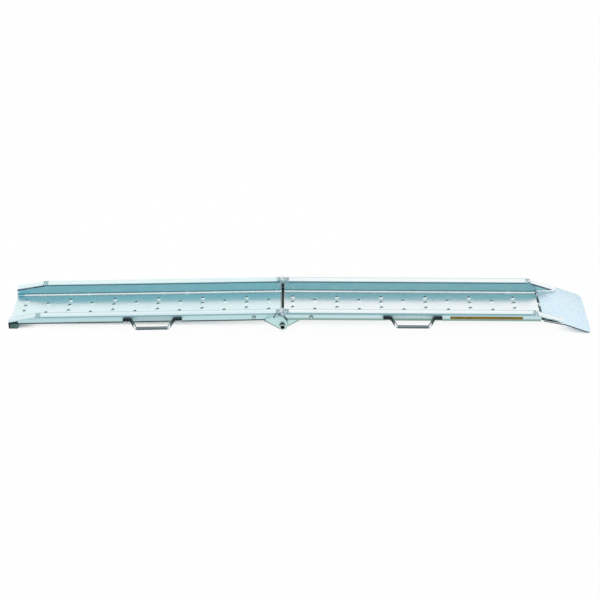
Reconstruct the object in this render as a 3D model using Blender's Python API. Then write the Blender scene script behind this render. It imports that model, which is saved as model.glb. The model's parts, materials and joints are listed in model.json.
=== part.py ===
"""Folding aluminium loading ramp: two sheet metal sections joined by a fold hinge.

The ground section reaches from the hinge to the ground (towards -X), the truck section
from the hinge to the tongue (towards +X). Near is the side with the carrying handles (-Y).
The origin is the middle of the outer box on level ground, +Z is up.
"""

import math

import bmesh
import bpy
from mathutils import Matrix, Vector

# Touching pieces keep this gap.
SEAT_GAP = 0.0003

# Formed sheet: deck, webs, flanges and lips are one bent sheet in each section.
SHEET = 0.003
TROUGH_WIDTH = 0.214
RAIL_HEIGHT = 0.045
FLANGE_WIDTH = 0.036
LIP_BOTTOM = 0.0155
FOOT_BEND_RADIUS = 0.007
OUTER_BEND_RADIUS = 0.004
BEND_STEPS = 4

# Ground section: its length from the hinge, and how far its rails are cut at the outer end.
GROUND_LENGTH = 1.050
GROUND_TAPER_LENGTH = 0.112
GROUND_TAPER_HEIGHT = 0.026
GROUND_LIP_CUT = 0.038

# Truck section: its deck's length to the tongue, and where its rails change before and after that.
TRUCK_DECK_LENGTH = 1.0035
TRUCK_TAPER_LEAD = 0.0335
TRUCK_TAPER_HEIGHT = 0.0115
TRUCK_LIP_LEAD = 0.0135
RAIL_ON_TONGUE = 0.0685

# Raised dimples: columns of four and of two by turns.
DIMPLE_PITCH = 0.0866
GROUND_FIRST_COLUMN = 0.0548
TRUCK_FIRST_COLUMN = 0.0382
FOUR_ROW_PITCH = 0.0405
TWO_ROW_PITCH = 0.068
DIMPLE_RADIUS = 0.0078
DIMPLE_HEIGHT = 0.005
DIMPLE_SIDES = 12
DIMPLE_RINGS = 3
DIMPLE_END_MARGIN = 0.030

# Fold hinge.
ARCH_ANGLE = math.radians(1.446)
PIVOT_DEPTH = 0.006
STOP_GAP = 0.0003
STOP_THICKNESS = 0.005
STOP_RISE = 0.005
STOP_CORNER = 0.004
LUG_THICKNESS = 0.006
LUG_EYE_RADIUS = 0.0185
LUG_REACH = 0.070
LUG_BELOW_FLANGE = 0.009
LUG_SHOULDER = 0.035
LUG_NOSE = 0.0195
LUG_NOSE_HEIGHT = 0.007
LUG_STEPS = 14
RAIL_BAR_REACH = 0.120
RAIL_BAR_START = 0.012
RAIL_BOLT_EDGE = 0.011
RAIL_BAR_MARGIN = 0.001

# Hinge rod and the round collars on its ends.
ROUND_SIDES = 28
HINGE_ROD_RADIUS = 0.005
HINGE_ROD_ENTRY = 0.0035
COLLAR_RADIUS = 0.011
COLLAR_HEIGHT = 0.012
COLLAR_CHAMFER = 0.0012
SOCKET_ACROSS = 0.0135
SOCKET_DEPTH = 0.0065
HINGE_WASHER_RADIUS = 0.012

# Bolts through the rails.
RAIL_SHANK_RADIUS = 0.004
RAIL_HEAD_RADIUS = 0.007
RAIL_HEAD_HEIGHT = 0.0045
RAIL_NUT_ACROSS = 0.013
RAIL_NUT_HEIGHT = 0.0065
THREAD_END = 0.002

# Carrying handle: one bent rod on each section, on the near lip.
HANDLE_ROD_RADIUS = 0.00625
HANDLE_BEVEL_RESOLUTION = 4
HANDLE_BEND_RADIUS = 0.012
HANDLE_BEND_STEPS = 5
HANDLE_CENTRE = 0.497
HANDLE_LENGTH = 0.2255
HANDLE_FOOT = 0.031
GRIP_LENGTH = 0.125
GRIP_REACH = 0.034
GRIP_DROP = 0.018
HANDLE_ABOVE_LIP_EDGE = 0.0145

# Feet under the rails at the ground end, and the plates that close the rails.
FOOT_GAP = 0.0005
FOOT_DEPTH = 0.0045
FOOT_ROUND = 0.008
END_CAP_THICKNESS = 0.0052

# Tongue at the truck end, lapped on the deck.
TONGUE_THICKNESS = 0.006
TONGUE_LAP = 0.032
LAP_MARGIN = 0.0015
TONGUE_BEND_LEAD = 0.009
TONGUE_SLOPE = 0.106
TONGUE_ANGLE = math.radians(20.2)
TONGUE_BEND_RADIUS = 0.012
TONGUE_BEND_STEPS = 6
TONGUE_CORNER = 0.020
TONGUE_REAR_INSET = 0.025
TONGUE_REAR_TAPER = 0.0715
TONGUE_REAR_CORNER = 0.008
TONGUE_CORNER_STEPS = 6

# Worked out from the sizes above.
WEB_Y = TROUGH_WIDTH / 2
WEB_OUTSIDE = WEB_Y + SHEET
EDGE_Y = WEB_Y + FLANGE_WIDTH
LIP_INSIDE = EDGE_Y - SHEET
HALF_GAP = STOP_GAP / 2 + STOP_THICKNESS + 1.5 * SEAT_GAP
TONGUE_TOP = SEAT_GAP + TONGUE_THICKNESS
GROUND_TAPER_START = GROUND_LENGTH - GROUND_TAPER_LENGTH
GROUND_LIP_END = GROUND_LENGTH - GROUND_LIP_CUT
TONGUE_REAR = TRUCK_DECK_LENGTH
TRUCK_TAPER_START = TONGUE_REAR - TRUCK_TAPER_LEAD
TRUCK_LIP_END = TONGUE_REAR - TRUCK_LIP_LEAD
TRUCK_RAIL_END = TONGUE_REAR + RAIL_ON_TONGUE
TONGUE_BEND = TRUCK_RAIL_END + TONGUE_BEND_LEAD
TONGUE_TIP = TONGUE_BEND + TONGUE_SLOPE
LUG_TOP = RAIL_HEIGHT - LUG_BELOW_FLANGE
RAIL_BOLT_DISTANCE = RAIL_BAR_REACH - RAIL_BOLT_EDGE
HANDLE_HEIGHT = LIP_BOTTOM + HANDLE_ABOVE_LIP_EDGE
FOOT_TOP = LIP_BOTTOM - FOOT_GAP
HANDS = (("near", -1), ("far", 1))
GROUND = -1
TRUCK = 1

# Colour, metallic and roughness of each kind of piece.
FINISHES = {
    "rolled_sheet": ((0.80, 0.84, 0.85), 1.0, 0.30),
    "tongue_plate": ((0.77, 0.81, 0.82), 1.0, 0.34),
    "end_plate": ((0.74, 0.78, 0.79), 1.0, 0.38),
    "hinge_lug": ((0.74, 0.79, 0.79), 1.0, 0.36),
    "rail_bar": ((0.72, 0.76, 0.77), 1.0, 0.42),
    "handle_rod": ((0.58, 0.63, 0.64), 1.0, 0.35),
    "hinge_rod": ((0.35, 0.40, 0.40), 1.0, 0.40),
    "hinge_collar": ((0.50, 0.56, 0.55), 1.0, 0.35),
    "zinc_steel": ((0.48, 0.52, 0.52), 1.0, 0.35),
    "foot_block": ((0.18, 0.24, 0.23), 0.0, 0.60),
    "end_cap": ((0.06, 0.08, 0.08), 0.0, 0.55),
}


def clear_scene():
    for obj in list(bpy.data.objects):
        bpy.data.objects.remove(obj, do_unlink=True)


def finish(kind):
    """The material of one kind of piece, made once."""
    material = bpy.data.materials.get(kind)
    if material is not None:
        return material
    colour, metallic, roughness = FINISHES[kind]
    material = bpy.data.materials.new(kind)
    material.use_nodes = True
    shader = material.node_tree.nodes["Principled BSDF"]
    shader.inputs["Base Color"].default_value = (*colour, 1.0)
    shader.inputs["Metallic"].default_value = metallic
    shader.inputs["Roughness"].default_value = roughness
    material.diffuse_color = (*colour, 1.0)
    return material


def make_empty(name, location, turn):
    """An empty turned about Y, which carries the pieces of one section."""
    empty = bpy.data.objects.new(name, None)
    empty.location = location
    empty.rotation_euler = (0.0, turn, 0.0)
    bpy.context.scene.collection.objects.link(empty)
    return empty


def add_object(name, data, parent, material=None):
    obj = bpy.data.objects.new(name, data)
    bpy.context.scene.collection.objects.link(obj)
    obj.parent = parent
    if material is not None:
        data.materials.append(material)
    return obj


def mesh_from(bm, name, smooth_angle=None):
    bmesh.ops.recalc_face_normals(bm, faces=bm.faces)
    mesh = bpy.data.meshes.new(name)
    bm.to_mesh(mesh)
    bm.free()
    if smooth_angle is not None:
        mesh.shade_smooth()
        mesh.set_sharp_from_angle(angle=smooth_angle)
    return mesh


def arc(centre_u, centre_v, radius, start, end, steps):
    """Points on an arc, angles in degrees, both ends included."""
    points = []
    for step in range(steps + 1):
        angle = math.radians(start + (end - start) * step / steps)
        points.append((centre_u + radius * math.cos(angle), centre_v + radius * math.sin(angle)))
    return points


def loft(rings):
    """A closed solid through rings of equal point count, with a face on each end."""
    bm = bmesh.new()
    loops = [[bm.verts.new(point) for point in ring] for ring in rings]
    count = len(loops[0])
    for lower, upper in zip(loops, loops[1:]):
        for i in range(count):
            k = (i + 1) % count
            bm.faces.new((lower[i], lower[k], upper[k], upper[i]))
    bm.faces.new(loops[0])
    bm.faces.new(list(reversed(loops[-1])))
    return bm


def prism_y(outline, y0, y1):
    """An outline in X and Z, extruded from y0 to y1."""
    return loft([[(x, y, z) for x, z in outline] for y in (y0, y1)])


def prism_x(outline, x0, x1):
    """An outline in Y and Z, extruded from x0 to x1."""
    return loft([[(x, y, z) for y, z in outline] for x in (x0, x1)])


def turned(stations, x, z, sides=ROUND_SIDES):
    """A solid turned about a line along Y: stations are (y, radius)."""
    rings = []
    for y, radius in stations:
        ring = []
        for side in range(sides):
            angle = 2 * math.pi * side / sides
            ring.append((x + radius * math.cos(angle), y, z + radius * math.sin(angle)))
        rings.append(ring)
    return loft(rings)


def hexagon(x, z, across):
    radius = across / 2 / math.cos(math.pi / 6)
    corners = []
    for side in range(6):
        angle = math.pi / 3 * side
        corners.append((x + radius * math.cos(angle), z + radius * math.sin(angle)))
    return corners


def box(low, high):
    bm = bmesh.new()
    size = Vector(high) - Vector(low)
    middle = (Vector(high) + Vector(low)) / 2
    bmesh.ops.create_cube(bm, size=1.0, matrix=Matrix.LocRotScale(middle, None, size))
    return bm


def add_cutter(name, bm, parent):
    cutter = add_object(name, mesh_from(bm, name), parent)
    cutter.hide_render = True
    cutter.display_type = "WIRE"
    return cutter


def add_boolean(obj, tool, operation):
    modifier = obj.modifiers.new(tool.name, "BOOLEAN")
    modifier.operation = operation
    modifier.object = tool
    modifier.solver = "EXACT"


def drill(obj, x, z, y0, y1, radius):
    """Cut a round hole along Y."""
    bm = turned([(y0, radius), (y1, radius)], x, z)
    cutter = add_cutter("cut_" + obj.name + "_hole", bm, obj.parent)
    add_boolean(obj, cutter, "DIFFERENCE")


def hat_half(height, lip_bottom):
    """Half of the hat profile, from the middle to the lip: points of its upper and lower side."""
    inner = OUTER_BEND_RADIUS - SHEET
    foot = FOOT_BEND_RADIUS
    bend_z = height - OUTER_BEND_RADIUS
    bends = (
        (WEB_Y - foot, foot, foot, foot + SHEET, -90, 0),
        (WEB_Y + OUTER_BEND_RADIUS, bend_z, OUTER_BEND_RADIUS, inner, 180, 90),
        (EDGE_Y - OUTER_BEND_RADIUS, bend_z, OUTER_BEND_RADIUS, inner, 90, 0),
    )
    upper, lower = [], []
    for y, z, upper_radius, lower_radius, start, end in bends:
        upper += arc(y, z, upper_radius, start, end, BEND_STEPS)
        lower += arc(y, z, lower_radius, start, end, BEND_STEPS)
    upper.append((EDGE_Y, lip_bottom))
    lower.append((LIP_INSIDE, lip_bottom))
    return upper, lower


def hat_profile(height, lip_bottom):
    """The closed outline in Y and Z of the bent sheet, its rails at the given height."""
    upper, lower = hat_half(height, lip_bottom)
    mirrored_upper = [(-y, z) for y, z in reversed(upper)]
    mirrored_lower = [(-y, z) for y, z in lower]
    return mirrored_upper + upper + list(reversed(lower)) + mirrored_lower


def dimple_places(first, end, four_first):
    """Centres of the raised dimples, as distance from the hinge and Y."""
    places = []
    column = 0
    distance = first
    while distance < end - DIMPLE_END_MARGIN:
        if (column % 2 == 0) == four_first:
            rows = [FOUR_ROW_PITCH * (row - 1.5) for row in range(4)]
        else:
            rows = [TWO_ROW_PITCH * (row - 0.5) for row in range(2)]
        places += [(distance, y) for y in rows]
        column += 1
        distance = first + DIMPLE_PITCH * column
    return places


def dome(bm, x, y, base, radius, height, sides, rings):
    """A closed dome whose flat underside lies at the height base."""
    loops = []
    for ring in range(rings):
        angle = math.pi / 2 * ring / rings
        ring_radius = radius * math.cos(angle)
        z = base + height * math.sin(angle)
        loop = []
        for side in range(sides):
            turn = 2 * math.pi * side / sides
            place = (x + ring_radius * math.cos(turn), y + ring_radius * math.sin(turn), z)
            loop.append(bm.verts.new(place))
        loops.append(loop)
    top = bm.verts.new((x, y, base + height))
    for low, high in zip(loops, loops[1:]):
        for i in range(sides):
            k = (i + 1) % sides
            bm.faces.new((low[i], low[k], high[k], high[i]))
    for i in range(sides):
        bm.faces.new((loops[-1][i], loops[-1][(i + 1) % sides], top))
    bm.faces.new(list(reversed(loops[0])))


def press_dimples(channel, places, side):
    """Domes raised from the deck, hollow underneath as pressed sheet is."""
    root = SHEET / 4
    crowns = bmesh.new()
    hollows = bmesh.new()
    for distance, y in places:
        x = side * distance
        dome(crowns, x, y, -root, DIMPLE_RADIUS, DIMPLE_HEIGHT + root, DIMPLE_SIDES, DIMPLE_RINGS)
        dome(hollows, x, y, -2 * SHEET, DIMPLE_RADIUS - SHEET, SHEET + DIMPLE_HEIGHT,
             DIMPLE_SIDES // 2, 2)
    crown_cutter = add_cutter("join_" + channel.name + "_dimples", crowns, channel.parent)
    hollow_cutter = add_cutter("cut_" + channel.name + "_dimples", hollows, channel.parent)
    add_boolean(channel, crown_cutter, "UNION")
    add_boolean(channel, hollow_cutter, "DIFFERENCE")


def cut_prism(obj, label, side, outline, y0, y1):
    """Cut an outline in distance from the hinge and Z, from y0 to y1."""
    bm = prism_y([(side * x, z) for x, z in outline], y0, y1)
    add_boolean(obj, add_cutter("cut_" + obj.name + "_" + label, bm, obj.parent), "DIFFERENCE")


def rail_height_at(distance, taper_start, rail_end, end_height):
    share = (distance - taper_start) / (rail_end - taper_start)
    return RAIL_HEIGHT + (end_height - RAIL_HEIGHT) * share


def make_channel(name, side, taper_start, rail_end, end_height, lip_end, parent):
    """The bent sheet of one section, with its rails cut down and bent towards the outer end."""
    bend = OUTER_BEND_RADIUS
    lip_height = rail_height_at(lip_end, taper_start, rail_end, end_height)
    stations = (
        (HALF_GAP, RAIL_HEIGHT, LIP_BOTTOM),
        (taper_start, RAIL_HEIGHT, LIP_BOTTOM),
        (lip_end, lip_height, LIP_BOTTOM),
        (rail_end, end_height, min(LIP_BOTTOM, end_height - bend - SHEET / 4)),
    )
    rings = []
    for x, height, lip_bottom in stations:
        rings.append([(side * x, y, z) for y, z in hat_profile(height, lip_bottom)])
    mesh = mesh_from(loft(rings), name, math.radians(40))
    channel = add_object(name, mesh, parent, finish("rolled_sheet"))
    beyond = rail_end + SHEET
    beyond_height = rail_height_at(beyond, taper_start, rail_end, end_height)
    below = -2 * RAIL_HEIGHT
    lip_outline = [
        (lip_end, below), (lip_end, lip_height - bend), (beyond, beyond_height - bend), (beyond, below),
    ]
    for label, hand in HANDS:
        cut_prism(channel, "lip_" + label, side, lip_outline,
                  hand * (LIP_INSIDE - SHEET / 2), hand * (EDGE_Y + SHEET))
        y0, y1 = sorted((hand * (LIP_INSIDE - SHEET), hand * (EDGE_Y + SHEET)))
        drill(channel, side * RAIL_BOLT_DISTANCE, rail_bolt_height(), y0, y1, RAIL_SHANK_RADIUS + SEAT_GAP)
    return channel


def make_end_plate(name, side, hand, parent):
    """The stop plate on a rail's end: two of them bear on each other when the ramp is open."""
    low, high = LIP_BOTTOM + PIVOT_DEPTH, RAIL_HEIGHT + STOP_RISE + PIVOT_DEPTH
    y0, y1 = WEB_Y, EDGE_Y
    round_in = arc(y0 + STOP_CORNER, high - STOP_CORNER, STOP_CORNER, 180, 90, BEND_STEPS)
    round_out = arc(y1 - STOP_CORNER, high - STOP_CORNER, STOP_CORNER, 90, 0, BEND_STEPS)
    outline = [(y0, low)] + round_in + round_out + [(y1, low)]
    outline = [(hand * y, z) for y, z in outline]
    x0 = side * STOP_GAP / 2
    x1 = side * (STOP_GAP / 2 + STOP_THICKNESS)
    return add_object(name, mesh_from(prism_x(outline, x0, x1), name), parent, finish("end_plate"))


def tangent_angle(x, z):
    """Angle in degrees at which a line from (x, z) touches the lug's eye on its lower side."""
    distance = math.hypot(x, z + PIVOT_DEPTH)
    towards = math.atan2(z + PIVOT_DEPTH, x)
    return math.degrees(towards - math.acos(LUG_EYE_RADIUS / distance))


def lug_eye(start, end):
    return arc(0.0, -PIVOT_DEPTH, LUG_EYE_RADIUS, start, end, LUG_STEPS)


def add_lug(name, side, hand, inner_y, outline, parent):
    y0, y1 = hand * inner_y, hand * (inner_y + LUG_THICKNESS)
    bm = prism_y([(side * x, z) for x, z in outline], y0, y1)
    lug = add_object(name, mesh_from(bm, name, math.radians(20)), parent, finish("hinge_lug"))
    low, high = sorted((y0 - hand * SHEET, y1 + hand * SHEET))
    drill(lug, 0.0, -PIVOT_DEPTH, low, high, HINGE_ROD_RADIUS + SEAT_GAP)
    return lug


def make_outer_lug(name, side, hand, parent):
    """The ground section's lug, on the outside of the lip. X counts from the hinge outwards."""
    outline = [(LUG_REACH, LIP_BOTTOM)]
    outline += lug_eye(tangent_angle(LUG_REACH, LIP_BOTTOM), -180)
    outline += [
        (-LUG_NOSE, LUG_NOSE_HEIGHT),
        (-SEAT_GAP, LUG_TOP),
        (LUG_SHOULDER, LUG_TOP),
        (LUG_REACH * 0.83, LUG_TOP - SHEET * 2),
        (LUG_REACH * 0.98, LIP_BOTTOM + SHEET),
    ]
    return add_lug(name, side, hand, EDGE_Y + SEAT_GAP, outline, parent)


def rail_inside_top():
    return RAIL_HEIGHT - SHEET - 2 * RAIL_BAR_MARGIN


def make_inner_lug(name, side, hand, parent):
    """The truck section's lug, inside the lip and bolted to it."""
    bar_low = LIP_BOTTOM + RAIL_BAR_MARGIN
    clear_x = HALF_GAP + SEAT_GAP
    outline = [
        (RAIL_BAR_REACH, rail_inside_top()),
        (RAIL_BAR_REACH, bar_low),
        (LUG_REACH, bar_low),
    ]
    outline += lug_eye(tangent_angle(LUG_REACH, bar_low), -270)
    outline += [(clear_x, LUG_EYE_RADIUS - PIVOT_DEPTH), (clear_x, rail_inside_top())]
    lug = add_lug(name, side, hand, LIP_INSIDE - SEAT_GAP - LUG_THICKNESS, outline, parent)
    drill_rail_bolt(lug, side, hand)
    return lug


def rail_bolt_height():
    return (LIP_BOTTOM + RAIL_HEIGHT - SHEET) / 2


def drill_rail_bolt(obj, side, hand):
    low, high = sorted((hand * (LIP_INSIDE - 2 * LUG_THICKNESS), hand * EDGE_Y))
    drill(obj, side * RAIL_BOLT_DISTANCE, rail_bolt_height(), low, high, RAIL_SHANK_RADIUS + SEAT_GAP)


def make_rail_bar(name, side, hand, parent):
    """The bar that stiffens the ground section's rail behind the outer lug."""
    outer = LIP_INSIDE - SEAT_GAP
    x0, x1 = sorted((side * RAIL_BAR_START, side * RAIL_BAR_REACH))
    y0, y1 = sorted((hand * outer, hand * (outer - LUG_THICKNESS)))
    bm = box((x0, y0, LIP_BOTTOM + RAIL_BAR_MARGIN), (x1, y1, rail_inside_top()))
    bar = add_object(name, mesh_from(bm, name), parent, finish("rail_bar"))
    drill_rail_bolt(bar, side, hand)
    return bar


def rail_nut_face():
    """Distance from the middle plane of the face that a rail nut is tightened on."""
    return LIP_INSIDE - SEAT_GAP - LUG_THICKNESS - SEAT_GAP


def make_rail_bolt(name, side, hand, parent):
    """A button head bolt through the lip and the piece behind it."""
    face = EDGE_Y + SEAT_GAP
    stations = [
        (rail_nut_face() - RAIL_NUT_HEIGHT - THREAD_END, RAIL_SHANK_RADIUS),
        (face, RAIL_SHANK_RADIUS),
        (face, RAIL_HEAD_RADIUS),
        (face + RAIL_HEAD_HEIGHT * 0.4, RAIL_HEAD_RADIUS),
        (face + RAIL_HEAD_HEIGHT * 0.8, RAIL_HEAD_RADIUS * 0.75),
        (face + RAIL_HEAD_HEIGHT, RAIL_HEAD_RADIUS * 0.4),
    ]
    stations = [(hand * y, radius) for y, radius in stations]
    bm = turned(stations, side * RAIL_BOLT_DISTANCE, rail_bolt_height())
    return add_object(name, mesh_from(bm, name, math.radians(40)), parent, finish("zinc_steel"))


def make_rail_nut(name, side, hand, parent):
    """A hexagon nut on a rail bolt."""
    x, z = side * RAIL_BOLT_DISTANCE, rail_bolt_height()
    y0, y1 = hand * rail_nut_face(), hand * (rail_nut_face() - RAIL_NUT_HEIGHT)
    mesh = mesh_from(prism_y(hexagon(x, z, RAIL_NUT_ACROSS), y0, y1), name)
    nut = add_object(name, mesh, parent, finish("zinc_steel"))
    low, high = sorted((y0 + hand * SHEET, y1 - hand * SHEET))
    drill(nut, x, z, low, high, RAIL_SHANK_RADIUS + SEAT_GAP)
    return nut


def make_hinge_washer(name, hand, parent):
    """The washer on the hinge rod, between the outer and the inner lug."""
    y0, y1 = hand * LIP_INSIDE, hand * EDGE_Y
    bm = turned([(y0, HINGE_WASHER_RADIUS), (y1, HINGE_WASHER_RADIUS)], 0.0, -PIVOT_DEPTH)
    washer = add_object(name, mesh_from(bm, name, math.radians(40)), parent, finish("zinc_steel"))
    low, high = sorted((y0 - hand * SHEET, y1 + hand * SHEET))
    drill(washer, 0.0, -PIVOT_DEPTH, low, high, HINGE_ROD_RADIUS + SEAT_GAP)
    return washer


def collar_face():
    """Distance from the middle plane of the outer lug's face, where the collar begins."""
    return EDGE_Y + SEAT_GAP + LUG_THICKNESS + SEAT_GAP


def make_hinge_rod(name, parent):
    """The round rod that runs through all lugs and across the gap between the decks."""
    end = collar_face() + HINGE_ROD_ENTRY
    bm = turned([(-end, HINGE_ROD_RADIUS), (end, HINGE_ROD_RADIUS)], 0.0, -PIVOT_DEPTH)
    return add_object(name, mesh_from(bm, name, math.radians(40)), parent, finish("hinge_rod"))


def make_hinge_collar(name, hand, parent):
    """The collar on the rod's end, with a hexagon socket in its outer face."""
    base, top = collar_face(), collar_face() + COLLAR_HEIGHT
    stations = [
        (base, COLLAR_RADIUS),
        (top - COLLAR_CHAMFER, COLLAR_RADIUS),
        (top, COLLAR_RADIUS - COLLAR_CHAMFER),
    ]
    stations = [(hand * y, radius) for y, radius in stations]
    mesh = mesh_from(turned(stations, 0.0, -PIVOT_DEPTH), name, math.radians(40))
    collar = add_object(name, mesh, parent, finish("hinge_collar"))
    bottom = base + HINGE_ROD_ENTRY + SEAT_GAP
    low, high = sorted((hand * (base - SHEET), hand * bottom))
    drill(collar, 0.0, -PIVOT_DEPTH, low, high, HINGE_ROD_RADIUS + SEAT_GAP)
    corners = hexagon(0.0, -PIVOT_DEPTH, SOCKET_ACROSS)
    socket = prism_y(corners, hand * (top - SOCKET_DEPTH), hand * (top + SHEET))
    add_boolean(collar, add_cutter("cut_" + name + "_socket", socket, parent), "DIFFERENCE")
    return collar


def corner_arc(before, corner, after, radius, steps):
    """Points on the arc that rounds a corner between two straight runs."""
    into = (corner - before).normalized()
    out = (after - corner).normalized()
    half = into.angle(out) / 2
    cut = radius * math.tan(half)
    centre = corner + (out - into).normalized() * (radius / math.cos(half))
    start = corner - into * cut - centre
    end = corner + out * cut - centre
    swing = math.sin(2 * half)
    points = []
    for step in range(steps + 1):
        share = step / steps
        from_start = math.sin((1 - share) * 2 * half) / swing
        from_end = math.sin(share * 2 * half) / swing
        points.append(centre + start * from_start + end * from_end)
    return points


def rounded_path(corners, radius, steps):
    """Points along straight runs joined by arcs of the given radius."""
    path = [corners[0]]
    for before, corner, after in zip(corners, corners[1:], corners[2:]):
        path += corner_arc(before, corner, after, radius, steps)
    path.append(corners[-1])
    return path


def make_handle(name, side, parent):
    """The bent rod handle: its ends lie along the lip, its grip stands out and hangs lower."""
    root_y = -(EDGE_Y + SEAT_GAP + HANDLE_ROD_RADIUS)
    grip_y = root_y - GRIP_REACH
    half, grip = HANDLE_LENGTH / 2, GRIP_LENGTH / 2
    shape = (
        (-half, root_y, HANDLE_HEIGHT),
        (-half + HANDLE_FOOT, root_y, HANDLE_HEIGHT),
        (-grip, grip_y, HANDLE_HEIGHT - GRIP_DROP),
        (grip, grip_y, HANDLE_HEIGHT - GRIP_DROP),
        (half - HANDLE_FOOT, root_y, HANDLE_HEIGHT),
        (half, root_y, HANDLE_HEIGHT),
    )
    corners = [Vector((side * HANDLE_CENTRE + x, y, z)) for x, y, z in shape]
    path = rounded_path(corners, HANDLE_BEND_RADIUS, HANDLE_BEND_STEPS)
    curve = bpy.data.curves.new(name, "CURVE")
    curve.dimensions = "3D"
    curve.bevel_depth = HANDLE_ROD_RADIUS
    curve.bevel_resolution = HANDLE_BEVEL_RESOLUTION
    curve.use_fill_caps = True
    spline = curve.splines.new("POLY")
    spline.points.add(len(path) - 1)
    for point, place in zip(spline.points, path):
        point.co = (*place, 1.0)
    return add_object(name, curve, parent, finish("handle_rod"))


def foot_contact():
    """Distance from the hinge of the middle of the face that stands on the ground."""
    return (GROUND_LIP_END + SEAT_GAP + FOOT_ROUND + GROUND_LENGTH) / 2


def ground_line(distance, tilt):
    """Height of level ground below the deck's upper face, when the ramp is open."""
    return (distance - foot_contact()) * math.tan(tilt) - FOOT_DEPTH


def make_ground_foot(name, hand, tilt, parent):
    """The block in the rail's end that stands on the ground, its lower inner corner rounded."""
    x0 = GROUND_LIP_END + SEAT_GAP
    x1 = GROUND_LENGTH - END_CAP_THICKNESS - SEAT_GAP
    round_x = x0 + FOOT_ROUND
    corner = arc(round_x, ground_line(round_x, tilt) + FOOT_ROUND, FOOT_ROUND, 180, 270, 5)
    outline = [(x0, FOOT_TOP)] + corner + [(x1, ground_line(x1, tilt)), (x1, FOOT_TOP)]
    y0, y1 = hand * (WEB_OUTSIDE + SEAT_GAP), hand * EDGE_Y
    bm = prism_y([(GROUND * x, z) for x, z in outline], y0, y1)
    return add_object(name, mesh_from(bm, name), parent, finish("foot_block"))


def make_end_cap(name, hand, tilt, parent):
    """The plate that closes the rail's end under the flange and reaches the ground."""
    x0, x1 = GROUND_LENGTH - END_CAP_THICKNESS, GROUND_LENGTH
    top = GROUND_TAPER_HEIGHT - OUTER_BEND_RADIUS - SEAT_GAP
    outline = [(x0, top), (x0, ground_line(x0, tilt)), (x1, ground_line(x1, tilt)), (x1, top)]
    y0, y1 = hand * (WEB_OUTSIDE + SEAT_GAP), hand * EDGE_Y
    bm = prism_y([(GROUND * x, z) for x, z in outline], y0, y1)
    return add_object(name, mesh_from(bm, name), parent, finish("end_cap"))


def rounded_outline(corners, steps):
    """A closed plan outline: corners are (x, y, radius)."""
    outline = []
    count = len(corners)
    for i, (x, y, radius) in enumerate(corners):
        before = Vector(corners[i - 1][:2])
        after = Vector(corners[(i + 1) % count][:2])
        outline += corner_arc(before, Vector((x, y)), after, radius, steps)
    return outline


def bend_down(vertex, bend_x):
    """Roll a point of the flat tongue round the bend line, and on down the slope."""
    radius = TONGUE_BEND_RADIUS + TONGUE_THICKNESS
    start = bend_x - radius * math.tan(TONGUE_ANGLE / 2)
    past = vertex.x - start
    if past <= 0:
        return
    depth = TONGUE_THICKNESS - vertex.z
    angle = min(past / radius, TONGUE_ANGLE)
    rest = past - angle * radius
    reach = radius - depth
    vertex.x = start + reach * math.sin(angle) + rest * math.cos(angle)
    vertex.z = TONGUE_THICKNESS - radius + reach * math.cos(angle) - rest * math.sin(angle)


def tongue_length():
    """Length of the flat blank whose bent upper face ends at the tip."""
    radius = TONGUE_BEND_RADIUS + TONGUE_THICKNESS
    tangent = radius * math.tan(TONGUE_ANGLE / 2)
    slope = (TONGUE_TIP - TONGUE_BEND) / math.cos(TONGUE_ANGLE) - tangent
    return TONGUE_BEND - tangent + radius * TONGUE_ANGLE + slope


def make_tongue(name, parent):
    """The thick plate that lies on the truck bed: cut flat, its corners rounded, then bent."""
    rear_y = EDGE_Y - TONGUE_REAR_INSET
    half = [
        (TONGUE_REAR, rear_y, TONGUE_REAR_CORNER),
        (TONGUE_REAR + TONGUE_REAR_TAPER, EDGE_Y, TONGUE_CORNER),
        (tongue_length(), EDGE_Y, TONGUE_CORNER),
    ]
    corners = half + [(x, -y, radius) for x, y, radius in reversed(half)]
    outline = rounded_outline(corners, TONGUE_CORNER_STEPS)
    bm = loft([[(p.x, p.y, z) for p in outline] for z in (0.0, TONGUE_THICKNESS)])
    radius = TONGUE_BEND_RADIUS + TONGUE_THICKNESS
    start = TONGUE_BEND - radius * math.tan(TONGUE_ANGLE / 2)
    for step in range(TONGUE_BEND_STEPS + 1):
        x = start + radius * TONGUE_ANGLE * step / TONGUE_BEND_STEPS
        parts = bm.verts[:] + bm.edges[:] + bm.faces[:]
        bmesh.ops.bisect_plane(bm, geom=parts, dist=1e-6, plane_co=(x, 0, 0), plane_no=(1, 0, 0))
    for vertex in bm.verts:
        bend_down(vertex.co, TONGUE_BEND)
        vertex.co.z += SEAT_GAP
    return add_object(name, mesh_from(bm, name, math.radians(40)), parent, finish("tongue_plate"))


def cut_tongue_seat(channel):
    """Stand the webs on the tongue, and leave a flat tab of the deck under its rear edge."""
    start = TONGUE_REAR - SEAT_GAP
    beyond = TRUCK_RAIL_END + SHEET
    below = -2 * RAIL_HEIGHT
    tab = WEB_Y - FOOT_BEND_RADIUS - LAP_MARGIN
    top = TONGUE_TOP + SEAT_GAP
    seat = [(start, below), (start, top), (beyond, top), (beyond, below)]
    for label, hand in HANDS:
        cut_prism(channel, "web_" + label, TRUCK, seat, hand * tab, hand * (EDGE_Y + SHEET))
    lap_end = TONGUE_REAR + TONGUE_LAP
    rest = [(lap_end, below), (lap_end, top), (beyond, top), (beyond, below)]
    cut_prism(channel, "deck", TRUCK, rest, -tab - LAP_MARGIN, tab + LAP_MARGIN)


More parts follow.
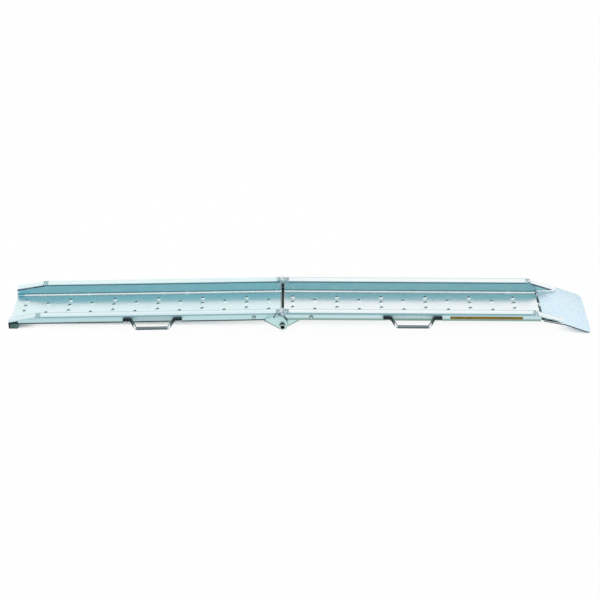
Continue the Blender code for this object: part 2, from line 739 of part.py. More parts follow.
def tongue_tip():
    """The tongue's upper and lower edge at the tip, measured from the hinge axis."""
    drop = (TONGUE_TIP - TONGUE_BEND) * math.tan(TONGUE_ANGLE)
    upper = (TONGUE_TIP, PIVOT_DEPTH + TONGUE_TOP - drop)
    slant = TONGUE_THICKNESS * math.sin(TONGUE_ANGLE)
    lower = (upper[0] - slant, upper[1] - TONGUE_THICKNESS * math.cos(TONGUE_ANGLE))
    return upper, lower


def rest_tilts():
    """How far each section dips when the open ramp stands on its feet and its tongue."""
    foot_x, foot_z = foot_contact(), PIVOT_DEPTH - FOOT_DEPTH
    tip_x, tip_z = tongue_tip()[1]
    rise = tip_x * math.sin(ARCH_ANGLE) - tip_z * math.cos(ARCH_ANGLE) + foot_z
    run = foot_x + tip_x * math.cos(ARCH_ANGLE) + tip_z * math.sin(ARCH_ANGLE)
    ground = math.atan2(rise, run)
    return ground, ARCH_ANGLE - ground


def outer_middle():
    """Middle plane of the outer box: the handles stand out further than the far collar."""
    near = -(EDGE_Y + SEAT_GAP + 2 * HANDLE_ROD_RADIUS + GRIP_REACH)
    far = collar_face() + COLLAR_HEIGHT
    return (near + far) / 2


def pivot_place(ground_tilt, truck_tilt):
    """Where the hinge axis lies, with the middle of the outer box at the origin."""
    foot_x, foot_z = foot_contact(), PIVOT_DEPTH - FOOT_DEPTH
    height = foot_x * math.sin(ground_tilt) - foot_z * math.cos(ground_tilt)
    corner_z = PIVOT_DEPTH + GROUND_TAPER_HEIGHT
    ground_x = -GROUND_LENGTH * math.cos(ground_tilt) - corner_z * math.sin(ground_tilt)
    tip_x, tip_z = tongue_tip()[0]
    tongue_x = tip_x * math.cos(truck_tilt) + tip_z * math.sin(truck_tilt)
    return Vector((-(ground_x + tongue_x) / 2, -outer_middle(), height))


def build_ground_section(frame, stops, tilt):
    channel = make_channel("ground_channel", GROUND, GROUND_TAPER_START, GROUND_LENGTH, GROUND_TAPER_HEIGHT,
                           GROUND_LIP_END, frame)
    places = dimple_places(GROUND_FIRST_COLUMN, GROUND_LENGTH, four_first=False)
    press_dimples(channel, places, GROUND)
    make_handle("ground_handle", GROUND, frame)
    make_hinge_rod("hinge_rod", frame)
    for label, hand in HANDS:
        make_end_plate("ground_end_plate_" + label, GROUND, hand, stops)
        make_outer_lug("ground_lug_" + label, GROUND, hand, frame)
        make_rail_bar("ground_rail_bar_" + label, GROUND, hand, frame)
        make_rail_bolt("ground_rail_bolt_" + label, GROUND, hand, frame)
        make_rail_nut("ground_rail_nut_" + label, GROUND, hand, frame)
        make_hinge_washer("hinge_washer_" + label, hand, frame)
        make_hinge_collar("hinge_collar_" + label, hand, frame)
        make_ground_foot("ground_foot_" + label, hand, tilt, frame)
        make_end_cap("ground_end_cap_" + label, hand, tilt, frame)


def build_truck_section(frame, stops):
    channel = make_channel("truck_channel", TRUCK, TRUCK_TAPER_START, TRUCK_RAIL_END, TRUCK_TAPER_HEIGHT,
                           TRUCK_LIP_END, frame)
    cut_tongue_seat(channel)
    places = dimple_places(TRUCK_FIRST_COLUMN, TONGUE_REAR, four_first=True)
    press_dimples(channel, places, TRUCK)
    make_handle("truck_handle", TRUCK, frame)
    make_tongue("tongue_plate", frame)
    for label, hand in HANDS:
        make_end_plate("truck_end_plate_" + label, TRUCK, hand, stops)
        make_inner_lug("truck_lug_" + label, TRUCK, hand, frame)
        make_rail_bolt("truck_rail_bolt_" + label, TRUCK, hand, frame)
        make_rail_nut("truck_rail_nut_" + label, TRUCK, hand, frame)


def main():
    clear_scene()
    ground_tilt, truck_tilt = rest_tilts()
    pivot = pivot_place(ground_tilt, truck_tilt)
    # Each section hangs on an empty whose origin lies on the hinge axis, below its deck.
    lift = Vector((0.0, 0.0, PIVOT_DEPTH))
    ground_axis = make_empty("ground_axis", pivot, -ground_tilt)
    truck_axis = make_empty("truck_axis", pivot, truck_tilt)
    stop_axis = make_empty("stop_axis", pivot, (truck_tilt - ground_tilt) / 2)
    ground_frame = make_empty("ground_frame", lift, 0.0)
    ground_frame.parent = ground_axis
    truck_frame = make_empty("truck_frame", lift, 0.0)
    truck_frame.parent = truck_axis
    build_ground_section(ground_frame, stop_axis, ground_tilt)
    build_truck_section(truck_frame, stop_axis)


main()
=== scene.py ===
# %% [markdown]
# # A folding aluminium loading ramp
# The ramp is two bent aluminium channels that meet at a fold hinge. It stands open, its dark feet
# on the ground at the left and its bent tongue at the right. The imported CAD model gives every solid
# and its place, so this lesson only adds what CAD leaves out: finishes, welds, pressed dimples,
# round bar, threads, light and a camera. The frame is loaded first. Nothing that is added may change
# the ramp's size.

# %% Load the frame
import json
import math

import bmesh
import bpy
from mathutils import Matrix, Vector


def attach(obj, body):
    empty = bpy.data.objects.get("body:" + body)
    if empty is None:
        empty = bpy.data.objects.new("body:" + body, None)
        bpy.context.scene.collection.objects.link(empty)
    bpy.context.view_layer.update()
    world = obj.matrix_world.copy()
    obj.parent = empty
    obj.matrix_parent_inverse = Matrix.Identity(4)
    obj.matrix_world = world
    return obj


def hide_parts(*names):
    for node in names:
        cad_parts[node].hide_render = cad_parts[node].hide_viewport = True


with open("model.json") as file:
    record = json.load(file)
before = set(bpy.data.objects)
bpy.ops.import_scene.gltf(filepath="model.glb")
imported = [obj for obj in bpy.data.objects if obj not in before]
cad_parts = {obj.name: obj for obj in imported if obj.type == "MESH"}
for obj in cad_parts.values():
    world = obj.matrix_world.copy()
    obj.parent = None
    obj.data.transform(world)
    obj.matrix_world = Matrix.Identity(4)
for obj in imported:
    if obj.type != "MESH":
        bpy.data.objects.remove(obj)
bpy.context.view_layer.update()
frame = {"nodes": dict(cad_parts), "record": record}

# %% [markdown]
# ## Two sections, two straight frames
# Each section lies a little out of level: the ramp arches at its hinge. A weld or a dimple is far
# easier to place along its own section, so both sections get a straight frame. X runs along it from
# the hinge, negative on the ground section, Y runs across it, and Z = 0 is the deck's upper face.
# A matrix takes a finished mesh from there to its place, and the object itself stays at the origin.

# %% Section frames
HINGE = Vector((-0.0682998, 0.0141, 0.0282161))
HINGE_BELOW_DECK = 0.006
SECTIONS = (("ground_section", "ground"), ("truck_section", "truck"))


def each(ground, truck):
    """One value for each section."""
    return {"ground_section": ground, "truck_section": truck}


TILT = each(math.radians(-1.6449819), math.radians(-0.1989819))
SIDE = each(-1, 1)


def section_matrix(body):
    """From a section's straight frame to the row's frame."""
    turn = Matrix.Rotation(TILT[body], 4, "Y")
    return Matrix.Translation(HINGE) @ turn @ Matrix.Translation((0, 0, HINGE_BELOW_DECK))


for body in TILT:
    print(body, "deck starts at", [round(v, 4) for v in section_matrix(body).translation])

# %% [markdown]
# ## Sizes that the looks need
# These are the real sizes of the bent sheet, in metres, as the CAD has them. They are written once,
# here, so that a weld lies in its corner and a dimple on its pressed dome.

# %% Sizes of the sheet
WEB_INSIDE = 0.107
WEB_OUTSIDE = 0.110
LIP_OUTSIDE = 0.143
RAIL_TOP = 0.045
TAPER_START = each(0.938, 0.970)
RAIL_END = each(1.050, 1.072)
RAIL_END_HEIGHT = each(0.026, 0.0115)
TONGUE_REAR = 1.0035
TONGUE_TOP = 0.0063


def rail_height(body, distance):
    """Height of the rail's top at a distance from the hinge: level, then cut down to its end."""
    start, end = TAPER_START[body], RAIL_END[body]
    share = min(max((distance - start) / (end - start), 0), 1)
    return RAIL_TOP + (RAIL_END_HEIGHT[body] - RAIL_TOP) * share


print("rail height at the ends", [rail_height(body, RAIL_END[body]) for body in TILT])

# %% [markdown]
# ## Short words for shader nodes
# A material is a small graph of nodes. A wire is one output of a node, and wires can be added and
# multiplied like numbers, so that a graph reads as a sum. node() makes a node, fills or links its
# sockets and returns a wire, and the helpers below stand for the steps that every finish needs.

# %% Node helpers


class Wire:
    """An output of a node that can stand in a sum, such as height * 0.45 + fray."""

    def __init__(self, tree, socket):
        self.tree, self.socket = tree, socket

    def calc(self, operation, other=0.0, clamp=False):
        sockets = {0: self, 1: other}
        return node(self.tree, "ShaderNodeMath", sockets, operation=operation, use_clamp=clamp)

    def __add__(self, other):
        return self.calc("ADD", other)

    def __sub__(self, other):
        return self.calc("SUBTRACT", other)

    def __rsub__(self, other):
        return node(self.tree, "ShaderNodeMath", {0: other, 1: self}, operation="SUBTRACT")

    def __mul__(self, other):
        return self.calc("MULTIPLY", other)

    def __truediv__(self, other):
        return self.calc("DIVIDE", other)

    def __abs__(self):
        return self.calc("ABSOLUTE")


def node(tree, kind, sockets=None, out=0, **settings):
    """Make a node, fill or link its sockets, and return one output as a wire."""
    made = tree.nodes.new(kind)
    for name, value in settings.items():
        setattr(made, name, value)
    for key, value in (sockets or {}).items():
        if isinstance(value, Wire):
            tree.links.new(value.socket, made.inputs[key])
        else:
            made.inputs[key].default_value = value
    return Wire(tree, made.outputs[out]) if made.outputs else None


def split(vector):
    """The X, Y and Z of a vector."""
    made = node(vector.tree, "ShaderNodeSeparateXYZ", {0: vector}).socket.node
    return [Wire(vector.tree, socket) for socket in made.outputs]


def ramp_up(value, low, high):
    """0 below low, 1 above high, smooth between; low above high turns it round."""
    sockets = {0: value, 1: low, 2: high}
    return node(value.tree, "ShaderNodeMapRange", sockets, interpolation_type="SMOOTHSTEP")


def band(value, low, high, soft):
    """1 between low and high, fading over soft on both sides."""
    return ramp_up(value, low - soft, low) * ramp_up(value, high + soft, high)


def mix_colour(factor, a, b):
    return node(factor.tree, "ShaderNodeMix", {0: factor, 6: a, 7: b}, out=2, data_type="RGBA")


def mix_value(factor, a, b):
    return node(factor.tree, "ShaderNodeMix", {0: factor, 2: a, 3: b}, data_type="FLOAT")


def rgb(red, green, blue):
    return (red, green, blue, 1.0)


def empty_tree(owner):
    """The emptied node tree of a material or a world."""
    owner.use_nodes = True
    owner.node_tree.nodes.clear()
    return owner.node_tree


print("node helpers ready")

# %% [markdown]
# ## Where a finish is on the ramp
# The finishes follow the metal: grain runs along the section, painted shade and painted highlights
# sit in the bends and the rolled marks run lengthwise. So each finish reads Object coordinates
# through a Mapping node that turns them into the section's own frame. Edges are found by comparing
# the real normal with a Bevel node's rounded one: they differ only within a millimetre of an edge,
# where handling polishes it.

# %% Places for a finish


def section_place(tree, body):
    """X, Y, Z in a section's frame; Z counts from the hinge axis."""
    place = node(tree, "ShaderNodeTexCoord", out="Object")
    sockets = {0: place, 1: HINGE, 2: (0.0, TILT[body], 0.0)}
    return node(tree, "ShaderNodeMapping", sockets, vector_type="TEXTURE")


def noise(place, scale, detail=3.0, roughness=0.5):
    sockets = {"Vector": place, "Scale": scale, "Detail": detail, "Roughness": roughness}
    return node(place.tree, "ShaderNodeTexNoise", sockets)


def streaks(place, scale, detail, roughness=0.5):
    """Noise with its own scale along, across and up."""
    place = node(place.tree, "ShaderNodeMapping", {0: place, 3: scale}, vector_type="POINT")
    return noise(place, 1.0, detail, roughness)


def edge_mask(tree, radius):
    """1 within radius of a sharp edge, and 0 on flats."""
    rounded = node(tree, "ShaderNodeBevel", {0: radius}, samples=4)
    flat = node(tree, "ShaderNodeNewGeometry", out="True Normal")
    sockets = {0: rounded, 1: flat}
    same = node(tree, "ShaderNodeVectorMath", sockets, out="Value", operation="DOT_PRODUCT")
    return ramp_up(same, 0.985, 0.80), rounded


print("finish places ready")

# %% [markdown]
# ## Bright metal
# Every metal piece here is aluminium or plated steel, so they share one graph: a tint that drifts
# in soft clouds, fine grain drawn along the piece, small scuffs that dull it, and worn edges that
# shine. One graph with a few numbers is used, and not eleven graphs, so that the pieces look as if
# they had the same life. A marks function may add what only one kind of piece has.

# %% Metal graph


def metal(name, body, tint, shade, rough, grain=(3.0, 160.0, 160.0), dent=0.00012, marks=None,
          mirror=1.0, edge_tint=(0.93, 0.95, 0.96), edge_reach=0.0009):
    material = bpy.data.materials.new(name)
    tree = empty_tree(material)
    place = section_place(tree, body)
    cloud = noise(place, 7.0, 4.0, 0.55)
    lines = streaks(place, grain, 4.0, 0.6)
    fleck = noise(place, 260.0, 2.0, 0.6)
    scuff = ramp_up(streaks(place, (22.0, 60.0, 60.0), 5.0, 0.7), 0.56, 0.72)
    drift = (lines * 0.45).calc("ADD", -0.15, clamp=True)
    amount = drift.calc("ADD", ramp_up(cloud, 0.35, 0.70) * 0.55, clamp=True)
    colour = mix_colour(amount, rgb(*tint), rgb(*shade))
    colour = mix_colour(scuff * 0.35, colour, rgb(*(0.86 * value for value in tint)))
    edge, rounded = edge_mask(tree, edge_reach)
    colour = mix_colour(edge * ramp_up(fleck, 0.25, 0.6), colour, rgb(*edge_tint))
    rub = lines * 0.16 + (rough - 0.08) + scuff * 0.10
    if marks:
        at = Spot(place, colour, rub)
        marks(at)
        colour, rub = at.colour, at.rub
    height = lines * 0.5 + cloud * 1.2
    sockets = {"Strength": 0.35, "Distance": dent, "Height": height, "Normal": rounded}
    bump = node(tree, "ShaderNodeBump", sockets)
    sockets = {"Base Color": colour, "Metallic": mirror, "Roughness": rub, "Normal": bump}
    surface = node(tree, "ShaderNodeBsdfPrincipled", sockets)
    node(tree, "ShaderNodeOutputMaterial", {0: surface})
    return material


print("metal graph ready")

# %% [markdown]
# ## A table of marks
# A mark has a red, green and blue that cover the colour, a strength, and the bands where it shows.
# A band is a measure, where it starts and ends, and how softly it fades. With only two numbers it
# is a ramp that goes up from the first to the second. Lengths are in metres, in the section's
# frame. What is None here differs between the sections.

# %% Marks by name
UPPER_BEND = (("rail", 0.0452, 0.0492, 0.0012), ("across", 0.1060, 0.1092, 0.0006))
WALL = (("across", 0.1055, 0.1082, 0.0012), ("up", 0.0105, 0.0125))
FOOT_HIGHLIGHT = (("up", 0.0060, 0.0098, 0.0005), ("across", 0.0985, 0.1062, 0.0008))
LIP = ("across", 0.1400, 0.1425)
FLANGE_TOP = ("rail", 0.0495, 0.0503)
NEAR = ("side", 0.01, -0.01)
MARKS = {
    # Painted reflection: the wall marks give the webs the teal of the dark room, bluer near the ground
    # section's feet.
    "wall": (None, None, None, 0.85, *WALL),
    "blue wall": (0.36, 0.74, 0.93, None, *WALL, ("along", 0.95, 1.045)),
    "frost": (0.88, 0.92, 0.93, 0.55),
    # Painted shade: a dark line in the flange's upper bend, and dashes of painted shadow under the
    # bent-down flange.
    "painted bend shade": (0.13, 0.24, 0.27, 0.80, *UPPER_BEND),
    "dashed flange shadow": (0.05, 0.055, 0.10, 0.95, *UPPER_BEND),
    # Painted shade: a dark line along the flange's inner edge, darker on the near rail.
    "crest": (0.45, 0.58, 0.66, 0.55, FLANGE_TOP, ("across", 0.1075, 0.1105, 0.0010)),
    "near crest": (0.27, 0.41, 0.48, 0.80, FLANGE_TOP, NEAR, ("across", 0.1075, 0.1120, 0.0012)),
    # Painted shade on the near flange's outer half.
    "outer flange": (0.64, 0.79, 0.85, None, NEAR, ("across", 0.128, 0.139, 0.004),
        ("rail", 0.0490, 0.0500)),
    # Painted shade: a dark line in the lower half of the bend from flange to lip.
    "lip line": (0.12, 0.29, 0.34, 0.90),
    # At the web's foot: a line of painted shade in the crease, then a painted highlight, or a painted
    # blue reflection near the ground section's feet.
    "painted foot shade": (0.07, 0.13, 0.13, 0.78, ("up", 0.0100, 0.0132, 0.0010),
        ("across", 0.1000, 0.1085, 0.0008), ("fray", 0.20, 0.45)),
    "blue foot reflection": (0.30, 0.62, 0.76, 0.90, *FOOT_HIGHLIGHT),
    "painted foot highlight": (0.99, 1.0, 1.0, 0.95, *FOOT_HIGHLIGHT),
    "heat": (0.36, 0.60, 0.66, 0.60, ("fleck", 0.60, 0.47)),
    "dark fleck": (0.05, 0.19, 0.23, 0.92, ("fleck", 0.46, 0.54)),
    # The heat tint and dark flecks are the metal's own; the bright flecks are painted glints.
    "painted glint": (0.98, 1.0, 1.0, 0.60, ("fleck", 0.47, 0.36)),
    # Painted shade: the lip's outer face is tinted darker teal.
    "lip": (0.62, 0.85, 0.88, 0.55, LIP),
    "rolled lip": (0.42, 0.57, 0.55, 0.26, LIP, ("rolled", 0.46, 0.60)),
    # Painted shadow along the lip's lower edge, darkest on the ground section.
    "hem": (None, None, None, 0.95, ("across", 0.1385, 0.1395), ("up", 0.0195, 0.0210)),
    # Painted shadow: a dark ring on the lip round each bolt head.
    "bolt shadow ring": (0.12, 0.22, 0.22, 0.50, LIP, ("from_bolt", 0.0066, 0.0084, 0.0006)),
    # Painted shadow: short black lines on the lip by the hinge.
    "lip shadow stroke": (0.01, 0.02, 0.02, 0.96, ("across", 0.1400, 0.1410)),
    # At the hinge end of the deck: painted shade on the ground section, a painted highlight on the
    # truck section.
    "deck end": (None, None, None, 0.92, ("across", 0.1010, 0.0995)),
    # Painted shade in the hollow under the flange where the lip is cut away.
    "lip hollow shade": (0.015, 0.03, 0.03, 0.94, ("across", 0.1090, 0.1112, 0.0004),
        ("rail", 0.0505, 0.0485)),
    # Painted shadow on the deck along the tongue's rear edge.
    "burn": (0.03, 0.10, 0.11, 0.94, ("along", 0.9970, 1.0045, 0.0006),
        ("up", 0.0052, 0.0075, 0.0010), ("fray", 0.41, 0.47)),
    # Painted shade on the dome's crown and on one flank.
    "dome crown shade": (0.02, 0.11, 0.135, 0.94),
    "dome flank shade": (0.45, 0.62, 0.64, 0.60),
    # Painted light on the handle: a pale reflection along the grip, highlights at the bends, shade at
    # the feet.
    "painted grip reflection": (0.52, 0.51, 0.56, 0.55, ("facing", 0.84, 0.98), ("off", 0.072, 0.068)),
    "painted bend highlight": (1.0, 1.0, 1.0, 0.95, ("facing", 0.55, 0.75), ("off", 0.0600, 0.0690, 0.001)),
    "painted bar foot shade": (0.02, 0.03, 0.03, 0.90, ("off", 0.074, 0.080)),
    # Painted highlight on the collar's rim round painted shade for a socket.
    "collar rim highlight": (0.72, 0.86, 0.84, 0.85, ("across", 0.1590, 0.1600),
        ("from_axis", 0.0078, 0.0084)),
    "collar socket shade": (0.01, 0.015, 0.015, 0.95, ("from_axis", 0.0082, 0.0076)),
    # Painted shade along the lug's lower edge and round its eye.
    "lug edge shade": (0.16, 0.28, 0.28, 0.80),
    # Painted shadow: short black lines on the lug.
    "lug shadow stroke": (0.01, 0.02, 0.02, 0.94),
    "plate fleck": (0.08, 0.20, 0.23, 0.85, ("fleck", 0.49, 0.57)),
    # Painted shade on the stop plate's lower inner side.
    "plate inside shade": (0.015, 0.03, 0.03, 0.95, ("across", 0.1082, 0.1074), ("up", 0.046, 0.034)),
    # Painted shadow: dashes on the welds under the bent-down flange.
    "seam shadow dashes": (0.05, 0.055, 0.10, 0.95, ("rail", 0.0430, 0.0445),
        ("across", 0.1054, 0.1100, 0.0006)),
    "seam fleck": (0.06, 0.20, 0.24, 0.80, ("fleck", 0.49, 0.56)),
    # Painted shade: a dark ring on the bolt's domed head.
    "bolt head shade": (0.06, 0.12, 0.12, 0.60, ("from_bolt", 0.0044, 0.0072, 0.0006)),
    "pale mottle": (0.97, 0.99, 1.0, 0.45, ("fine", 0.46, 0.68)),
    "blue mottle": (0.47, 0.72, 0.90, 0.45, ("coarse", 0.52, 0.32)),
    # Painted light on the tongue: a highlight over a shadow on its near edge, shade under the cut rails
    # and on its rear edge.
    "edge highlight": (0.98, 1.0, 1.0, 0.90, ("upright", 0.50, 0.70), ("depth", 0.0022, 0.0014)),
    "edge shadow": (0.02, 0.025, 0.03, 0.95, ("upright", 0.50, 0.70), ("depth", 0.0016, 0.0024)),
    "shade under rail": (0.015, 0.04, 0.04, 0.94, ("across", 0.1105, 0.1118), ("along", 1.071, 1.064),
        ("inset", 0.0008, 0.0018), ("depth", 0.0035, 0.0025)),
    "rear edge": (0.03, 0.09, 0.10, 0.92, ("along", 1.0048, 1.0038)),
}
print("marks in the table", len(MARKS))

# %% [markdown]
# ## A spot that takes marks
# A spot stands for any point of the metal. It knows how far it is along and across its section and
# up from the hinge axis, and mark() covers its colour where the bands of a mark meet. Some marks
# need one measure more: how far the spot is from a bolt's axis, whether it lies on a short straight
# stroke, in a dash or in a fleck, or how high it would be if its rail were level.

# %% Mark helpers
BOLT_DISTANCE, BOLT_HEIGHT = 0.109, 0.02875
STROKE_SOFT = 0.0005


class Spot:
    """A point of the metal, its measures, its colour and its roughness."""

    def __init__(self, place, colour, rub):
        self.tree, self.place, self.colour, self.rub = place.tree, place, colour, rub
        self.x, self.side, self.up = split(place)
        self.along, self.across = abs(self.x), abs(self.side)

    def within(self, measure, *limits):
        return (band if len(limits) == 3 else ramp_up)(getattr(self, measure), *limits)

    def mark(self, name, *masks, tint=None, strength=None):
        """Cover the colour with a named mark where its bands meet and all the masks are 1."""
        red, green, blue, own_strength, *bands = MARKS[name]
        strength = own_strength if strength is None else strength
        for mask in [self.within(*limits) for limits in bands] + list(masks):
            strength = mask * strength
        self.colour = mix_colour(strength, self.colour, rgb(*(tint or (red, green, blue))))

    def marks(self, *names):
        for name in names:
            self.mark(name)

    def roughen(self, mask, rough):
        self.rub = mix_value(mask, self.rub, rough)


def either(a, b):
    """The larger of two masks."""
    return a.calc("MAXIMUM", b)


def from_point(a, b, centre):
    """Distance of (a, b) from a centre."""
    x, z = a - centre[0], b - centre[1]
    return (x * x + z * z).calc("SQRT")


def stroke(along, up, start, end, width):
    """1 on a straight stroke from start to end, both (distance, height)."""
    dx, dz = end[0] - start[0], end[1] - start[1]
    length = math.hypot(dx, dz)
    x, z = along - start[0], up - start[1]
    off = x * (dz / length) - z * (dx / length)
    run = x * (dx / length) + z * (dz / length)
    near = ramp_up(abs(off), width / 2 + STROKE_SOFT, width / 2 - STROKE_SOFT)
    return near * band(run, 0.0, length, 0.0008)


def dashes(at):
    """1 along a section, broken by short gaps."""
    return ramp_up(streaks(at.place, (60.0, 0.01, 0.01), 1.0), 0.38, 0.44)


def flecks(at):
    return noise(at.place, 175.0, 3.0, 0.65)


def from_bolt(at):
    return from_point(at.along, at.up, (BOLT_DISTANCE, BOLT_HEIGHT + HINGE_BELOW_DECK))


def level_height(at, body):
    """The height that a spot would have if its rail were level."""
    drop = RAIL_TOP - RAIL_END_HEIGHT[body]
    sockets = {0: at.along, 1: TAPER_START[body], 2: RAIL_END[body], 4: drop}
    return at.up + node(at.tree, "ShaderNodeMapRange", sockets)


print("mark helpers ready")

# %% [markdown]
# ## Marks of the bent sheet
# The webs carry a painted reflection of the dark room, every bend a painted dark line beside a
# painted highlight, heat has frosted and flecked the metal at the welds among painted glints, and
# the lip's face, its lower edge and the rings round its bolts carry painted shade.
# Where the rails are cut down, the marks go down with them.

# %% Sheet marks


def walls(at, look):
    # Painted reflection: the webs get a deeper teal, bluer near the ground section's feet.
    at.mark("wall", tint=look["web"])
    at.mark("blue wall", strength=look["blue_end"])
    at.roughen(at.within(*WALL[0]) * at.within(*WALL[1]) * 0.8, 0.36)
    frost = ramp_up(at.along - (at.up * 0.45 + at.fray * 0.022), -0.007, -0.011)
    at.mark("frost", frost)
    at.roughen(frost * 0.7, 0.5)


def bends(at, look):
    # Painted shade in the upper bend, and dashed painted shadow where the flange is bent down.
    at.mark("painted bend shade")
    at.mark("dashed flange shadow", 1.0 - at.level, dashes(at))
    # Painted shade along the flange's inner edge.
    at.marks("crest", "near crest")
    # Painted shade on the outer half of the near flange.
    at.mark("outer flange", strength=look["flange_line"])
    # Painted shade in the bend from flange to lip, where the rail is level.
    low, high, edge = look["lip_line"]
    line = band(at.rail, low, high, 0.0020) * ramp_up(at.across, edge - 0.0015, edge)
    at.mark("lip line", line, at.level)
    # Painted shade in the crease at the web's foot, beside a painted highlight or a painted blue
    # reflection.
    reach = ramp_up(at.along, look["polish_end"] + 0.008, look["polish_end"] - 0.008)
    at.mark("painted foot shade")
    at.mark("blue foot reflection", 1.0 - reach)
    at.mark("painted foot highlight", reach)


def heat(at, start):
    hot = either(band(at.along, 0.008, 0.020, 0.007),
                 band(at.along, start - 0.008, start + 0.006, 0.006))
    hot = hot * ramp_up(at.rail, 0.0440, 0.0470)
    # Heat tint and dark flecks are real; the bright flecks are painted glints.
    for name in ("heat", "dark fleck", "painted glint"):
        at.mark(name, hot)


def lips(at, look):
    at.roughen(at.within(*LIP) * 0.90, 0.62)
    # The lip's face gets painted shade; the rolled lines along it are the metal's own.
    at.marks("lip", "rolled lip")
    # Painted shadow on the lip's lower edge.
    at.mark("hem", ramp_up(at.up, look["hem_top"], look["hem_top"] - 0.0035), tint=look["hem"])
    # Painted shadow round the bolt heads.
    at.mark("bolt shadow ring")
    # Short black lines of painted shadow by the hinge.
    for start, end in look["strokes"]:
        at.mark("lip shadow stroke", stroke(at.along, at.up, start, end, 0.0042))


def ends(at, look):
    # Painted shade beside the hinge gap on the ground deck, a painted highlight on the truck deck's
    # edge.
    strip = ramp_up(at.along, look["strip"] + 0.0012, look["strip"])
    at.mark("deck end", strip, tint=look["deck_end"])
    # Painted shade in the hollow past the lip's end.
    at.mark("lip hollow shade", ramp_up(at.along, look["lip_end"] - 0.004, look["lip_end"] + 0.002))
    # Painted shadow along the tongue's rear edge, on the truck section.
    if look["burn"]:
        at.mark("burn")


def sheet_marks(body, look):
    def marks(at):
        start = TAPER_START[body]
        at.fray, at.fleck = noise(at.place, 45.0, 3.0, 0.6), flecks(at)
        at.rolled = streaks(at.place, (0.6, 1.0, 900.0), 2.0)
        at.from_bolt, at.rail = from_bolt(at), level_height(at, body)
        at.level = ramp_up(at.along, start + 0.006, start - 0.006)
        walls(at, look)
        bends(at, look)
        heat(at, start)
        lips(at, look)
        ends(at, look)

    return marks


print("sheet marks ready")

# %% [markdown]
# ## Marks of the small pieces
# Each kind of small piece has one or two marks of its own. A dome has painted shade on its crown
# and on one flank. The handle is dark, with a painted pale reflection along its grip, painted
# highlights at its bends and painted shade at its feet, and a lug has painted shade on its lower
# edge and painted shadow lines. The collar has a painted bright rim round a socket of painted
# shade, the tongue a mottled face, a painted highlight and painted shade on its near edge and
# painted shade under the cut rails, the stop plates flecks and painted shade on their inner side,
# the welds dashes of painted shadow under the cut rails, and the bolts a ring of painted shade.

# %% Small marks
HANDLE_CENTRE, BAR_RADIUS = 0.497, 0.00625
GRIP_HALF, LEG_FOOT, BAR_END = 0.0625, 0.08175, 0.11275
GRIP_Y, FOOT_Y = 0.18355, 0.14955
GRIP_Z, FOOT_Z = 0.012, 0.030
TONGUE_BEND, TONGUE_SLOPE = 1.0815, math.tan(math.radians(20.2))


def dome_marks(at):
    x, y, _ = split(node(at.tree, "ShaderNodeAttribute", out="Vector", attribute_name="dome_place"))
    # Painted shade: a dark crown and a darker flank on each dome.
    crown = ramp_up(from_point(x, y, (-0.06, 0.04)), 0.70, 0.56)
    at.mark("dome crown shade", crown)
    at.mark("dome flank shade", ramp_up(from_point(x, y, (-0.62, -0.30)), 0.45, 0.25))
    at.roughen(crown, 0.55)


def rod_marks(at):
    at.off = abs(at.along - HANDLE_CENTRE)

    def bar_middle(grip, foot):
        """The middle of the bar, which goes from its grip to its foot in both legs."""
        sockets = {0: at.off, 1: GRIP_HALF, 2: LEG_FOOT, 3: grip, 4: foot}
        return node(at.tree, "ShaderNodeMapRange", sockets)

    out = at.across - bar_middle(GRIP_Y, FOOT_Y)
    over = at.up - bar_middle(GRIP_Z + HINGE_BELOW_DECK, FOOT_Z + HINGE_BELOW_DECK)
    # Painted by facing: a pale reflection and bend highlights where the bar faces up and out, shade at
    # its feet.
    at.facing = out * (0.80 / BAR_RADIUS) + over * (0.60 / BAR_RADIUS)
    at.marks("painted grip reflection", "painted bend highlight", "painted bar foot shade")


def collar_marks(at):
    # A painted highlight on the rim and painted shade for a socket.
    at.from_axis = from_point(at.along, at.up, (0.0, 0.0))
    at.marks("collar rim highlight", "collar socket shade")


def lug_marks(strokes):
    def marks(at):
        # Painted shade on the lug's lower edge and under its eye.
        edge = stroke(at.along, at.up, (0.0690, 0.0250), (0.0100, -0.0150), 0.0046)
        eye = ramp_up(from_point(at.along, at.up, (0.0, 0.0)), 0.0162, 0.0174)
        at.mark("lug edge shade", either(edge, eye * ramp_up(at.up, -0.006, -0.012)))
        # Short black lines of painted shadow on the lug.
        for start, end in strokes:
            at.mark("lug shadow stroke", stroke(at.x, at.up, start, end, 0.0044))

    return marks


def plate_marks(at):
    # Heat flecks, and painted shade on the plate's inner side.
    at.fleck = flecks(at)
    at.marks("plate fleck", "plate inside shade")


def seam_marks(body):
    def marks(at):
        start, end = TAPER_START[body], RAIL_END[body]
        at.rail, at.fleck = level_height(at, body), flecks(at)
        # Dashes of painted shadow under the bent-down flange.
        at.mark("seam shadow dashes", band(at.along, start + 0.004, end - 0.012, 0.003), dashes(at))
        taper = band(at.along, start - 0.006, start + 0.003, 0.002)
        at.mark("seam fleck", either(ramp_up(at.along, 0.030, 0.020), taper))

    return marks


def bolt_marks(at):
    at.from_bolt = from_bolt(at)
    # Painted shade ring on the bolt head.
    at.mark("bolt head shade")


